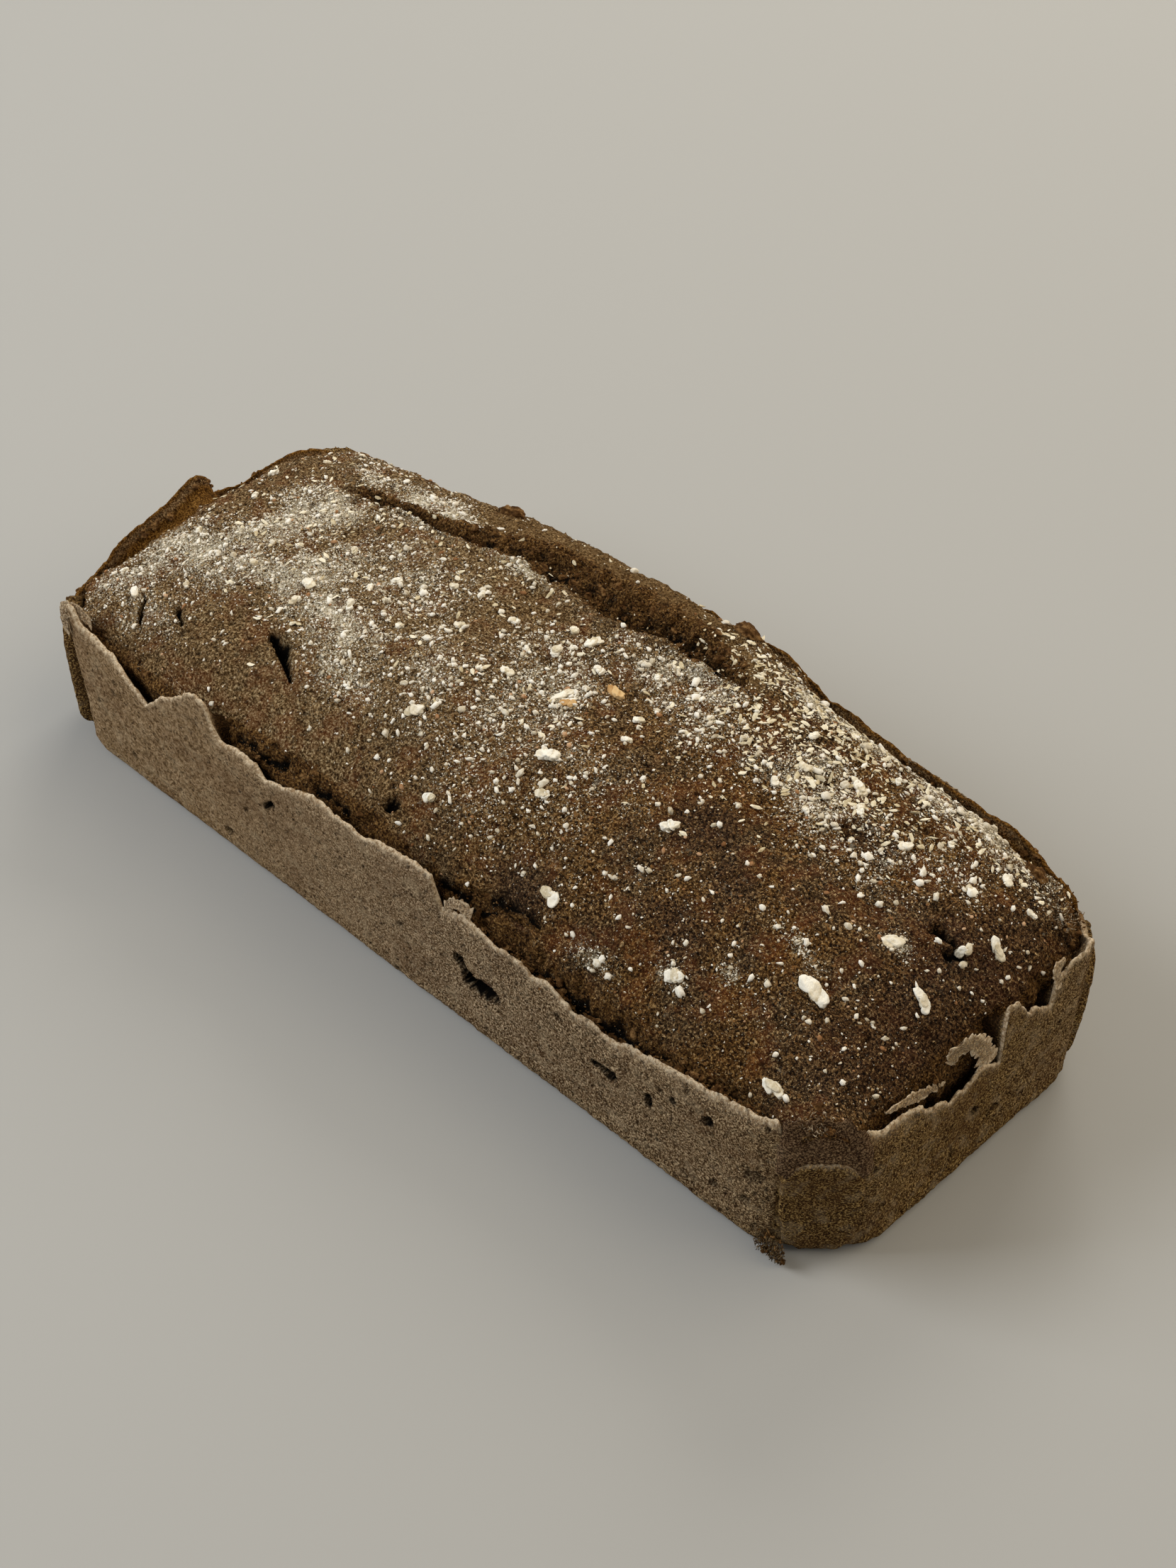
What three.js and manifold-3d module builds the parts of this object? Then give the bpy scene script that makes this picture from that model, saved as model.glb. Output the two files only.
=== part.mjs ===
// Gluten-free fig bread: a dark tin loaf in one piece. A thin pale side crust stands up ragged round a
// darker top, which is domed, split along its far side and strewn with flour, flakes and granules.
// Units are millimetres. +X runs along the loaf, -Y is its long front side and +Z is up.
// The origin is under the middle of the loaf, on the surface that it stands on.

import * as THREE from 'three';
import { mergeVertices } from 'three/addons/utils/BufferGeometryUtils.js';
import Module from 'manifold-3d';

const wasm = await Module();
wasm.setup();

// Side crust: its plan at the rim, its walls and the crevice between the free rim and the top
const HALF_LENGTH = 131.7;
const HALF_WIDTH = 51.7;
const CORNER_CUT = 14;
const FOOT_CORNER_CUT = 16.5;
const WALL_LEAN = 1.5; // the walls lean out by this much from foot to rim
const WALL_RINGS = [0.42, 0.78]; // shares of the rim's height at which the walls have a ring of points
const FOOT_ROUND = 3;
const RIM_ROUND = 0.9;
const AROUND = 4 * (HALF_LENGTH + HALF_WIDTH);
const CRUST = 1.7; // thickness of the side crust where it stands free
const CREVICE = 1.9; // gap between the free rim and the top
const CREVICE_DEPTHS = [
  [0, 7], [358, 7], [374, 3], [402, 3], [407, 7], [431, 7], [436, 3], [700, 3], [733, 7],
]; // by distance round the loaf: torn crumb half fills it at the back and the left end
const WAVE = { depth: 0.6, length: 30, height: 14, fade: 12 }; // slow hollows in the walls
const LONG_STEPS = 48;
const END_STEPS = 20;
const CORNER_STEPS = 4;

// Ragged rim: place along each wall and height. The front runs left to right, the right end front to
// back, the back right to left and the left end back to front.
const FRONT_RIM = [
  [-131, 34], [-124, 36], [-120, 45], [-116, 46.5], [-110, 45], [-99, 39.4], [-90, 34], [-80, 33],
  [-76, 36], [-71, 45.2], [-66, 48], [-62, 43], [-48, 38.7], [-29, 41.5], [0, 42.3], [12, 44.6],
  [15, 35.6], [20, 38.2], [57, 36.7], [71, 34], [82, 37.6], [95, 38.2], [112, 43.8], [117, 46.5], [122, 34],
];
const RIGHT_RIM = [
  [-42, 34], [-40, 41], [-30, 40], [-16, 36.4], [-11, 37], [-4, 44.5], [1, 40], [4.5, 30],
  [6.5, 47], [13, 42.5], [20, 38], [24, 45], [33, 48.5], [40, 44],
];
const BACK_RIM = [
  [120, 37], [107, 42.8], [92, 45.7], [60, 47.5], [42, 50.7], [27, 55], [0, 53], [-19, 51], [-38, 48.5],
  [-67, 42.5], [-98, 36.5], [-114, 35],
];
const LEFT_RIM = [[34, 37], [15, 37.8], [8, 39.5], [2, 46.4], [-15, 45.6], [-26, 44.5], [-37, 38], [-44, 34]];
const RAGGED = [{ height: 1.5, length: 5.1 }, { height: 0.75, length: 2.3 }];

// Top: plan, heights along the loaf and how round its cross-section is
const TOP_HALF_LENGTH = HALF_LENGTH - CRUST - CREVICE;
const TOP_HALF_WIDTH = HALF_WIDTH - CRUST - CREVICE;
const TOP_CORNER_CUT = 11.7;
const TOP_NEAR_CORNER_CUT = 7.3; // the top fills the near corner, at the front on the right
const NEAR_CORNER = { x: 125, y: -45, rise: 8, reach: 10.5 };
const TOP_ROOT = 22; // the top's block reaches down into the crumb to this height
const CREST = [
  [-132, 49], [-105, 52.5], [-75, 56.5], [-35, 60], [10, 61.5], [60, 60.5], [100, 56], [132, 50],
];
const FRONT_EDGE = [[-132, 38], [-100, 36], [-60, 36], [0, 37.5], [60, 34.5], [100, 35], [132, 36]];
const BACK_EDGE = [
  [-132, 35], [-98, 36], [-67, 41], [-38, 48], [-10, 52], [20, 54.5], [36, 51], [52, 45], [90, 42], [132, 36],
];
const BACK_SWELL = { reach: 2.9, from: -84, to: 40, rise: 30, fall: 18 }; // pushed over the back rim
const FRONT_POWERS = [2.3, 0.72];
const BACK_POWERS = [3.6, 0.62];
const END_POWERS = [11, 0.62];
const LUMPS = [{ height: 1.5, length: 19, from: 0 }, { height: 0.68, length: 8, from: 40 }];
const LUMPS_AT_EDGE = 0.35; // share of the lumps' height that is left at the edge
const TOP_COLUMNS = 64;
const COLUMNS_TO_ENDS = 0.55; // how far the cross-sections crowd towards the two ends
const TOP_ROWS = 22;

// Long torn split, a slit and cracks in the top: x, y, width and depth at each station
const SPLIT = [
  [-97, 21.5, 1, 1], [-90, 22.5, 4, 2.5], [-76, 25.6, 3, 2.2], [-63, 25, 4.5, 2.8], [-52, 28, 9, 3.4],
  [-38, 33.6, 10.5, 3.8], [-24, 33.2, 13, 4.4], [-11, 33.6, 15, 4.8], [0, 34.2, 14, 4.6], [12, 35.5, 10, 4.2],
  [24, 33.6, 7.5, 3.4], [34, 30, 1.5, 1],
];
const SLIT = [[-68.5, -26.4, 1, 1], [-66, -27.4, 3, 3.5], [-60.5, -29.2, 4, 4.5], [-52, -34, 1, 1]];
const LEFT_SLIT = [[-106.5, -34, 1, 1], [-104, -37.5, 3, 3], [-99.5, -41.3, 1, 1]];
const FRONT_CRACK = [[14, -47, 1, 1], [20, -46.4, 2.2, 3], [28, -44.4, 2, 2.6], [41, -44, 1, 1]];
const GROOVE_FLOOR = [-0.7, 0.1]; // reach of a groove's floor, in half widths
const GROOVE_ABOVE = 6; // the cutter stands this far above the surface

// Torn holes in the front wall: x, height, width, height of the hole and its lean
const WALL_HOLES = [
  [26, 19.5, 13, 3.6, -0.32], [67.5, 21.3, 7.5, 2.8, -0.2], [81, 22, 3, 2, 0], [-47, 27, 3, 2, 0],
];
const HOLE_DEPTHS = [-2, 1.2, 2.6]; // depths of a hole's three rings behind the wall's plane
const HOLE_REACHES = [1, 1, 0.55];
const HOLE_POINTS = 9;
const HOLE_UNEVEN = 0.25;

// Rounded crust patches on the four cut corners. The outer three stand a little off the loaf.
const PATCH_HALF_WIDTH = 8.8;
const PATCH_THICK = 0.6;
const PATCH_ROOT = 3;
const PATCH_FOOT = 0.8;
const PATCH_SIDE = [[0, 0.4], [0.12, 0.85], [0.5, 1], [0.81, 1], [0.94, 0.72], [1, 0.35]]; // height, width
const PATCHES = [
  { sideX: 1, sideY: -1, lift: 0.5, height: 34.5 }, { sideX: 1, sideY: 1, lift: 1, height: 36 },
  { sideX: -1, sideY: 1, lift: 1.4, height: 36 }, { sideX: -1, sideY: -1, lift: 2.8, height: 37.5 },
];

// Toppings: the largest flakes as x, y, two half sizes and turn, then a seeded strewing of smaller ones
const LARGE_FLAKES = [
  [101, -22.5, 4, 2.7, -0.5], [117, -6, 3, 1.6, -0.6], [38.4, -38.7, 3.3, 1.6, -0.5],
  [-18.8, -25.6, 2.7, 1.9, 0.2], [15.7, -17, 2.7, 2.2, 0], [21.6, -24.6, 1.8, 1.5, 0],
  [-0.9, -38.2, 1.7, 1.5, 0], [107, -42, 3.4, 1.7, -0.2], [3, 1, 3.1, 1.5, 0.9], [50, -13, 2.3, 1.5, 0.3],
  [74, -37, 2.7, 2, 0], [71.5, 26, 2.6, 1.7, -0.5], [104.5, -1.3, 2.7, 2, 0.4], [119, 16.6, 2.8, 1.5, -0.7],
  [6.9, -1.4, 2.3, 1.4, 0.1], [12, 8.7, 2.7, 1.4, 0], [-3, 17, 2.4, 1.6, 0.8],
];
const KNOBS = [[-58, 44.5, 2.6], [17, 48.4, 2.8], [110, 42, 2.4]]; // crust blisters on the back edge
const FLAKE_THICK = 1;
const FLAKE_UNEVEN = 0.28;
const FLAKE_RAISE = 0.25;
const SMALL_FLAKES = 46;
const SMALL_SIZES = [1.1, 2.1];
const SMALL_WIDTHS = [0.6, 0.95]; // width as a share of length
const FLOURED = [
  [-104, 0, 26, 40], [-62, -6, 26, 16], [-10, 6, 40, 15], [56, 22, 44, 17], [105, 20, 22, 18],
]; // ellipses: middle x and y, half length and half width
const EDGE_CLEAR = 7;
const FLAKE_CLEAR = 6;
const SPLIT_CLEAR = [12, 8];

let seed = 20417;
function random() {
  seed = (seed * 16807) % 2147483647;
  return seed / 2147483647;
}

function hash(i, j) {
  const value = Math.sin(i * 127.1 + j * 311.7) * 43758.5453;
  return value - Math.floor(value);
}

// Smooth noise from -1 to 1
function noise(x, y) {
  const [i, j] = [Math.floor(x), Math.floor(y)];
  const [a, b] = [ease(x - i), ease(y - j)];
  const low = hash(i, j) * (1 - a) + hash(i + 1, j) * a;
  const high = hash(i, j + 1) * (1 - a) + hash(i + 1, j + 1) * a;
  return 2 * (low * (1 - b) + high * b) - 1;
}

function ease(t) {
  const k = Math.min(Math.max(t, 0), 1);
  return k * k * (3 - 2 * k);
}

// Value at a place between the stations [place, value] of a list
function between(stations, place) {
  const next = stations.findIndex((station) => station[0] > place);
  if (next === 0) return stations[0][1];
  if (next < 0) return stations.at(-1)[1];
  const [a, b] = [stations[next - 1], stations[next]];
  return a[1] + ((b[1] - a[1]) * (place - a[0])) / (b[0] - a[0]);
}

// Closed body through a list of rings with equal numbers of points, its two ends closed by fans
function loft(rings) {
  const size = rings[0].length;
  const points = rings.flat();
  const faces = [];
  for (let k = 0; k + 1 < rings.length; k += 1) {
    for (let j = 0; j < size; j += 1) {
      const next = (j + 1) % size;
      const [a, b, c, d] = [k * size + j, k * size + next, (k + 1) * size + next, (k + 1) * size + j];
      faces.push(a, b, c, a, c, d);
    }
  }
  for (const [ring, start, turn] of [[rings[0], 0, true], [rings.at(-1), points.length - size, false]]) {
    const middle = ring.reduce((sum, p) => sum.map((v, i) => v + p[i] / size), [0, 0, 0]);
    const hub = points.push(middle) - 1;
    for (let j = 0; j < size; j += 1) {
      const [a, b] = [start + j, start + ((j + 1) % size)];
      faces.push(...(turn ? [b, a, hub] : [a, b, hub]));
    }
  }
  return solid(points, faces);
}

// Manifold body from points and triangles, turned so that its faces point out
function solid(points, faces) {
  let volume = 0;
  for (let k = 0; k < faces.length; k += 3) {
    const [a, b, c] = [0, 1, 2].map((i) => new THREE.Vector3(...points[faces[k + i]]));
    volume += a.dot(b.cross(c));
  }
  const triVerts = new Uint32Array(volume > 0 ? faces : [...faces].reverse());
  const mesh = new wasm.Mesh({ numProp: 3, vertProperties: new Float32Array(points.flat()), triVerts });
  mesh.merge();
  return new wasm.Manifold(mesh);
}

function fromGeometry(geometry) {
  geometry.deleteAttribute('normal');
  geometry.deleteAttribute('uv');
  const merged = mergeVertices(geometry);
  const vertProperties = Float32Array.from(merged.attributes.position.array);
  const triVerts = Uint32Array.from(merged.index.array);
  return new wasm.Manifold(new wasm.Mesh({ numProp: 3, vertProperties, triVerts }));
}

// Points round a rectangle with cut corners, from the left end of the front, with its corners eased
function outline(a, b, cut) {
  const corners = [
    [cut - a, -b, LONG_STEPS], [a - cut, -b, CORNER_STEPS], [a, cut - b, END_STEPS],
    [a, b - cut, CORNER_STEPS], [a - cut, b, LONG_STEPS], [cut - a, b, CORNER_STEPS],
    [-a, b - cut, END_STEPS], [-a, cut - b, CORNER_STEPS],
  ];
  const points = [];
  corners.forEach(([x, y, steps], i) => {
    const [nextX, nextY] = corners[(i + 1) % corners.length];
    for (let k = 0; k < steps; k += 1) {
      const t = k / steps;
      points.push([x + (nextX - x) * t, y + (nextY - y) * t]);
    }
  });
  return points.map((p, i) => {
    const [before, after] = [points.at(i - 1), points[(i + 1) % points.length]];
    return [(before[0] + 2 * p[0] + after[0]) / 4, (before[1] + 2 * p[1] + after[1]) / 4];
  });
}

// Rim stations in order round the loaf, as [distance along the uncut rectangle, height]
function rimStations() {
  const [a, b] = [HALF_LENGTH, HALF_WIDTH];
  const front = FRONT_RIM.map(([x, z]) => [a + x, z]);
  const right = RIGHT_RIM.map(([y, z]) => [2 * a + b + y, z]);
  const back = BACK_RIM.map(([x, z]) => [3 * a + 2 * b - x, z]);
  const left = LEFT_RIM.map(([y, z]) => [4 * a + 3 * b - y, z]);
  return [...front, ...right, ...back, ...left];
}

// Place on the uncut rectangle of each point of an outline
function rimPlaces() {
  const places = [];
  let from = CORNER_CUT;
  for (let wall = 0; wall < 4; wall += 1) {
    const [half, steps] = wall % 2 === 0 ? [HALF_LENGTH, LONG_STEPS] : [HALF_WIDTH, END_STEPS];
    const to = from + 2 * (half - CORNER_CUT);
    for (let k = 0; k < steps; k += 1) places.push(from + ((to - from) * k) / steps);
    for (let k = 0; k < CORNER_STEPS; k += 1) places.push(to + (2 * CORNER_CUT * k) / CORNER_STEPS);
    from = to + 2 * CORNER_CUT;
  }
  return places;
}

function rimHeight(place) {
  const ragged = RAGGED.map(({ height, length }, i) => height * noise(place / length, 3 + 6 * i));
  return between(rimStations(), place % AROUND) + ragged[0] + ragged[1];
}

// Side crust: foot, leaning walls and free rim, filled inside up to the floor of the crevice
function sideCrust() {
  const places = rimPlaces();
  const heights = places.map(rimHeight);
  const depths = places.map((place) => between(CREVICE_DEPTHS, place % AROUND));
  const ring = (inset, cut, height) => {
    const points = outline(HALF_LENGTH - inset, HALF_WIDTH - inset, cut);
    return points.map(([x, y], i) => {
      const z = height(heights[i], i);
      const hollow = 0.5 + 0.5 * noise(places[i] / WAVE.length, z / WAVE.height);
      const inward = (WAVE.depth * hollow * ease(z / WAVE.fade)) / Math.hypot(x, y);
      return [x - x * inward, y - y * inward, z];
    });
  };
  const bevel = 1 - Math.SQRT1_2;
  const walls = WALL_RINGS.map((share) => {
    const cut = FOOT_CORNER_CUT + (CORNER_CUT - FOOT_CORNER_CUT) * share;
    return ring(WALL_LEAN * (1 - share), cut, (rim) => rim * share);
  });
  return loft([
    ring(WALL_LEAN + FOOT_ROUND, FOOT_CORNER_CUT, () => 0),
    ring(WALL_LEAN + FOOT_ROUND * bevel, FOOT_CORNER_CUT, () => FOOT_ROUND * bevel),
    ring(WALL_LEAN, FOOT_CORNER_CUT, () => FOOT_ROUND),
    ...walls,
    ring(0, CORNER_CUT, (rim) => rim - RIM_ROUND),
    ring(CRUST / 2, CORNER_CUT, (rim) => rim),
    ring(CRUST, CORNER_CUT, (rim) => rim - RIM_ROUND),
    ring(CRUST + CREVICE / 2, CORNER_CUT - CREVICE / 2, (rim, i) => rim - depths[i]),
  ]);
}

// Half width of the top at x, on the front (side -1) or the back (side 1)
function topHalfWidth(x, side) {
  const cut = side < 0 && x > 0 ? TOP_NEAR_CORNER_CUT : TOP_CORNER_CUT;
  const { reach, from, to, rise, fall } = BACK_SWELL;
  const swell = side > 0 ? reach * ease((x - from) / rise) * ease((to - x) / fall) : 0;
  return TOP_HALF_WIDTH + swell - Math.max(0, Math.abs(x) - (TOP_HALF_LENGTH - cut));
}

// Height of the top before its cracks are torn
function topHeight(x, y) {
  const side = Math.sign(y) || 1;
  const v = Math.min(Math.abs(y) / topHalfWidth(x, side), 1);
  const u = Math.min(Math.abs(x) / TOP_HALF_LENGTH, 1);
  const [p, q] = side < 0 ? FRONT_POWERS : BACK_POWERS;
  const across = (1 - v ** p) ** q;
  const along = (1 - u ** END_POWERS[0]) ** END_POWERS[1];
  const blend = ease((side * v + 1) / 2);
  const fromCorner = Math.hypot(x - NEAR_CORNER.x, y - NEAR_CORNER.y) / NEAR_CORNER.reach;
  const corner = NEAR_CORNER.rise * Math.exp(-(fromCorner ** 2));
  const edge = between(FRONT_EDGE, x) * (1 - blend) + between(BACK_EDGE, x) * blend + corner;
  const lumps = LUMPS.map(({ height, length, from }) => height * noise(x / length + from, y / length));
  const kept = LUMPS_AT_EDGE + (1 - LUMPS_AT_EDGE) * across;
  return edge + (between(CREST, x) - edge) * across * along + (lumps[0] + lumps[1]) * kept;
}

// Top crust and the crumb under it: cross-sections from the left end to the right
function topCrust() {
  const sections = [];
  for (let i = 0; i <= TOP_COLUMNS; i += 1) {
    const t = (2 * i) / TOP_COLUMNS - 1;
    const crowded = Math.sin((t * Math.PI) / 2);
    const x = TOP_HALF_LENGTH * (t + (crowded - t) * COLUMNS_TO_ENDS);
    const section = [];
    for (let j = 0; j <= TOP_ROWS; j += 1) {
      const s = Math.sin(((2 * j) / TOP_ROWS - 1) * (Math.PI / 2));
      const y = s * topHalfWidth(x, Math.sign(s) || 1);
      section.push([x, y, topHeight(x, y)]);
    }
    section.push([x, topHalfWidth(x, 1), TOP_ROOT], [x, -topHalfWidth(x, -1), TOP_ROOT]);
    sections.push(section);
  }
  return loft(sections);
}

// Cutter for a torn groove along stations of x, y, width and depth: steep on its front side
function groove(stations) {
  const rings = stations.map(([x, y, width, depth], i) => {
    const [before, after] = [stations[Math.max(i - 1, 0)], stations[Math.min(i + 1, stations.length - 1)]];
    const length = Math.hypot(after[0] - before[0], after[1] - before[1]);
    const across = [(before[1] - after[1]) / length, (after[0] - before[0]) / length];
    const surface = topHeight(x, y);
    const point = (share, z) => {
      const offset = (share * width) / 2;
      return [x + across[0] * offset, y + across[1] * offset, surface + z];
    };
    const [near, far] = GROOVE_FLOOR;
    const back = far + ((1 - far) * (depth + GROOVE_ABOVE)) / depth;
    return [point(-1, GROOVE_ABOVE), point(near, -depth), point(far, -depth), point(back, GROOVE_ABOVE)];
  });
  return loft(rings);
}

// Cutter for a torn hole in the front wall: an uneven leaning lens
function wallHole([x, z, width, height, lean]) {
  const rings = HOLE_DEPTHS.map((depth, k) => Array.from({ length: HOLE_POINTS }, (_, i) => {
    const angle = (i / HOLE_POINTS) * 2 * Math.PI;
    const reach = (1 + HOLE_UNEVEN * noise(i * 1.7, x)) * HOLE_REACHES[k];
    const across = (width / 2) * Math.cos(angle) * reach;
    const up = (height / 2) * Math.sin(angle) * reach;
    return [x + across, depth - HALF_WIDTH, z + up + lean * across];
  }));
  return loft(rings);
}

// Rounded crust patch on a cut corner, standing off it by lift above its foot
function cornerPatch({ sideX, sideY, lift, height }) {
  const foot = (HALF_LENGTH + HALF_WIDTH - FOOT_CORNER_CUT - 2 * WALL_LEAN) / Math.SQRT2;
  const rim = (HALF_LENGTH + HALF_WIDTH - CORNER_CUT) / Math.SQRT2;
  const middle = (HALF_LENGTH - HALF_WIDTH) / Math.SQRT2;
  const otherSide = PATCH_SIDE.map(([up, wide]) => [up, -wide]).reverse();
  const rings = [false, true].map((outer) => [...PATCH_SIDE, ...otherSide].map(([up, wide]) => {
    const z = PATCH_FOOT + up * (height - PATCH_FOOT);
    const stand = outer ? PATCH_THICK + lift * (1 - up * 0.8) * ease(z / 8) : -PATCH_ROOT;
    const out = foot + (rim - foot) * up + stand;
    const across = middle + wide * PATCH_HALF_WIDTH;
    return [(sideX * (out + across)) / Math.SQRT2, (sideY * (out - across)) / Math.SQRT2, z];
  }));
  return loft(rings);
}

// Flake, granule or blister lying on the top: its three half sizes, turned about +Z
function flake(x, y, long, wide, turn, high = FLAKE_THICK) {
  const geometry = new THREE.OctahedronGeometry(1, 1);
  const position = geometry.attributes.position;
  for (let i = 0; i < position.count; i += 1) {
    const p = new THREE.Vector3().fromBufferAttribute(position, i);
    const bulge = 1 + FLAKE_UNEVEN * noise(p.x * 2 + x, p.y * 2 + p.z * 3 + y);
    position.setXYZ(i, p.x * long * bulge, p.y * wide * bulge, p.z * high * bulge);
  }
  const step = 0.8;
  const slopeX = (topHeight(x + step, y) - topHeight(x - step, y)) / (2 * step);
  const slopeY = (topHeight(x, y + step) - topHeight(x, y - step)) / (2 * step);
  const up = new THREE.Vector3(-slopeX, -slopeY, 1).normalize();
  const lay = new THREE.Quaternion().setFromUnitVectors(new THREE.Vector3(0, 0, 1), up);
  const spin = new THREE.Quaternion().setFromAxisAngle(new THREE.Vector3(0, 0, 1), turn);
  geometry.applyQuaternion(lay.multiply(spin));
  geometry.translate(x, y, topHeight(x, y) + FLAKE_RAISE);
  return fromGeometry(geometry);
}

// Places of the small flakes: drawn inside the floured patches, clear of the split and of each other
function smallFlakes() {
  const taken = LARGE_FLAKES.map(([x, y]) => [x, y]);
  const flakes = [];
  while (flakes.length < SMALL_FLAKES) {
    const [cx, cy, rx, ry] = FLOURED[Math.floor(random() * FLOURED.length)];
    const [angle, reach] = [random() * 2 * Math.PI, Math.sqrt(random())];
    const [x, y] = [cx + rx * reach * Math.cos(angle), cy + ry * reach * Math.sin(angle)];
    const size = SMALL_SIZES[0] + (SMALL_SIZES[1] - SMALL_SIZES[0]) * random() ** 2;
    const width = size * (SMALL_WIDTHS[0] + (SMALL_WIDTHS[1] - SMALL_WIDTHS[0]) * random());
    const turn = random() * Math.PI;
    const inLength = Math.abs(x) < TOP_HALF_LENGTH - EDGE_CLEAR;
    const inWidth = Math.abs(y) < topHalfWidth(x, Math.sign(y)) - EDGE_CLEAR;
    const clear = taken.every(([ox, oy]) => Math.hypot(x - ox, y - oy) > FLAKE_CLEAR);
    const [reachX, reachY] = SPLIT_CLEAR;
    const inSplit = SPLIT.some(([sx, sy]) => Math.hypot((x - sx) / reachX, (y - sy) / reachY) < 1);
    if (inLength && inWidth && clear && !inSplit) {
      taken.push([x, y]);
      flakes.push([x, y, size, width, turn]);
    }
  }
  return flakes;
}

function loaf() {
  let body = sideCrust().add(topCrust());
  for (const crack of [SPLIT, SLIT, LEFT_SLIT, FRONT_CRACK]) body = body.subtract(groove(crack));
  for (const hole of WALL_HOLES) body = body.subtract(wallHole(hole));
  for (const patch of PATCHES) body = body.add(cornerPatch(patch));
  for (const [x, y, size] of KNOBS) body = body.add(flake(x, y, size, size, 0, size));
  for (const topping of [...LARGE_FLAKES, ...smallFlakes()]) body = body.add(flake(...topping));
  return body;
}

function toGeometry(body) {
  const { vertProperties, triVerts } = body.getMesh();
  const geometry = new THREE.BufferGeometry();
  geometry.setAttribute('position', new THREE.BufferAttribute(vertProperties, 3));
  geometry.setIndex(new THREE.BufferAttribute(triVerts, 1));
  geometry.computeVertexNormals();
  return geometry;
}

const crust = new THREE.MeshStandardMaterial({ color: 0x5a4630, roughness: 0.9, metalness: 0 });
const mesh = new THREE.Mesh(toGeometry(loaf()), crust);
mesh.name = 'loaf';

const group = new THREE.Group();
group.add(mesh);

export default group;
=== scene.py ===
# Looks of the gluten-free fig bread: a finely modelled side crust, top crust and toppings in place of the
# part's one solid, with the same sizes and the same forms. Lengths are millimetres until a mesh is made.
# +X runs along the loaf, -Y is its long front side and +Z is up.

import math

import bmesh
import bpy
import numpy as np
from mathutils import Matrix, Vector


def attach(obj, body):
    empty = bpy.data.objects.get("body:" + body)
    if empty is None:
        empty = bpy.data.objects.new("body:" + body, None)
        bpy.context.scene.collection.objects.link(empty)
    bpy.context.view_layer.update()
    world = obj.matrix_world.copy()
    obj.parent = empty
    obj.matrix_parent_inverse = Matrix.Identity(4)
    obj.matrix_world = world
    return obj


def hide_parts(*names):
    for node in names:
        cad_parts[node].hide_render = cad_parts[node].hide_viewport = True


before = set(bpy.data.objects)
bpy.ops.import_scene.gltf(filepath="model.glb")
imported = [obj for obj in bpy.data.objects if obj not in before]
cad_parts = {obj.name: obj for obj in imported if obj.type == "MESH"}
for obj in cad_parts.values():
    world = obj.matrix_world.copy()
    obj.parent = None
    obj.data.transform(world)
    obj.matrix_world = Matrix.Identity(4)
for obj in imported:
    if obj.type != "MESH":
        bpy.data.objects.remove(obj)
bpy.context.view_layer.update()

MM = 0.001
TINY = 1e-9

# Side crust, as in the part
HALF_LENGTH = 131.7
HALF_WIDTH = 51.7
CORNER_CUT = 14.0
FOOT_CORNER_CUT = 16.5
WALL_LEAN = 1.5
FOOT_ROUND = 3.0
RIM_ROUND = 0.9
CRUST = 1.7
CREVICE = 1.9
CREVICE_DEPTHS = [(0, 7), (358, 7), (374, 3), (402, 3), (407, 7), (431, 7), (436, 3), (700, 3), (733, 7)]
AROUND = 4 * (HALF_LENGTH + HALF_WIDTH)
FAR_CORNER = 2 * (HALF_LENGTH + HALF_WIDTH)
WAVE = {"depth": 0.6, "length": 30.0, "height": 14.0, "fade": 12.0}
LONG_STEPS = 48
END_STEPS = 20
CORNER_STEPS = 4
FRONT_RIM = [
    (-131, 34), (-124, 36), (-120, 45), (-116, 46.5), (-113.6, 43.6), (-106.5, 41), (-97.4, 38.2),
    (-92, 34.6), (-88.2, 32.4), (-85.2, 34.8), (-82.5, 38), (-77, 41.6), (-72.3, 45.4), (-68, 47.4),
    (-65.4, 46.4), (-64.2, 41.4), (-61.6, 38.4), (-49.9, 38.4), (-45, 36.6), (-30.6, 40), (-16.8, 41.4),
    (-3.4, 42), (12, 44.6), (15, 36), (22, 38), (28, 36.6), (42, 37.5), (44, 35.6), (49, 37.6),
    (59, 34.4), (69, 33.4), (76, 36.4), (88.3, 38.8), (94, 38.6), (105.6, 41.6), (112, 43.8), (117, 46.5),
    (122, 34),
]
RIGHT_RIM = [
    (-42, 34), (-40.5, 39), (-38.6, 43), (-35, 40.6), (-28.8, 40), (-21.3, 38.1), (-14, 34.8),
    (-11.6, 33), (-9.3, 34), (-4.9, 33), (-1.7, 34.2), (3.8, 31.2), (5.6, 30), (6.1, 47.4), (9.8, 46.8),
    (14.3, 40.6), (20, 37.6), (23.9, 35.6), (25, 42.8), (29.2, 44.8), (36.2, 45), (40, 44),
]
BACK_RIM = [
    (120, 37), (107, 42.8), (92, 45.7), (60, 47.5), (42, 50.7), (27, 55), (0, 53), (-19, 51), (-38, 48.5),
    (-67, 42.5), (-98, 36.5), (-114, 35),
]
LEFT_RIM = [
    (34, 37), (15, 38.4), (8, 40.2), (6.4, 45.4), (1.5, 47), (-3, 45.6), (-12, 43.8), (-21, 41.4),
    (-30, 38), (-40, 34.8), (-44, 34),
]

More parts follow.
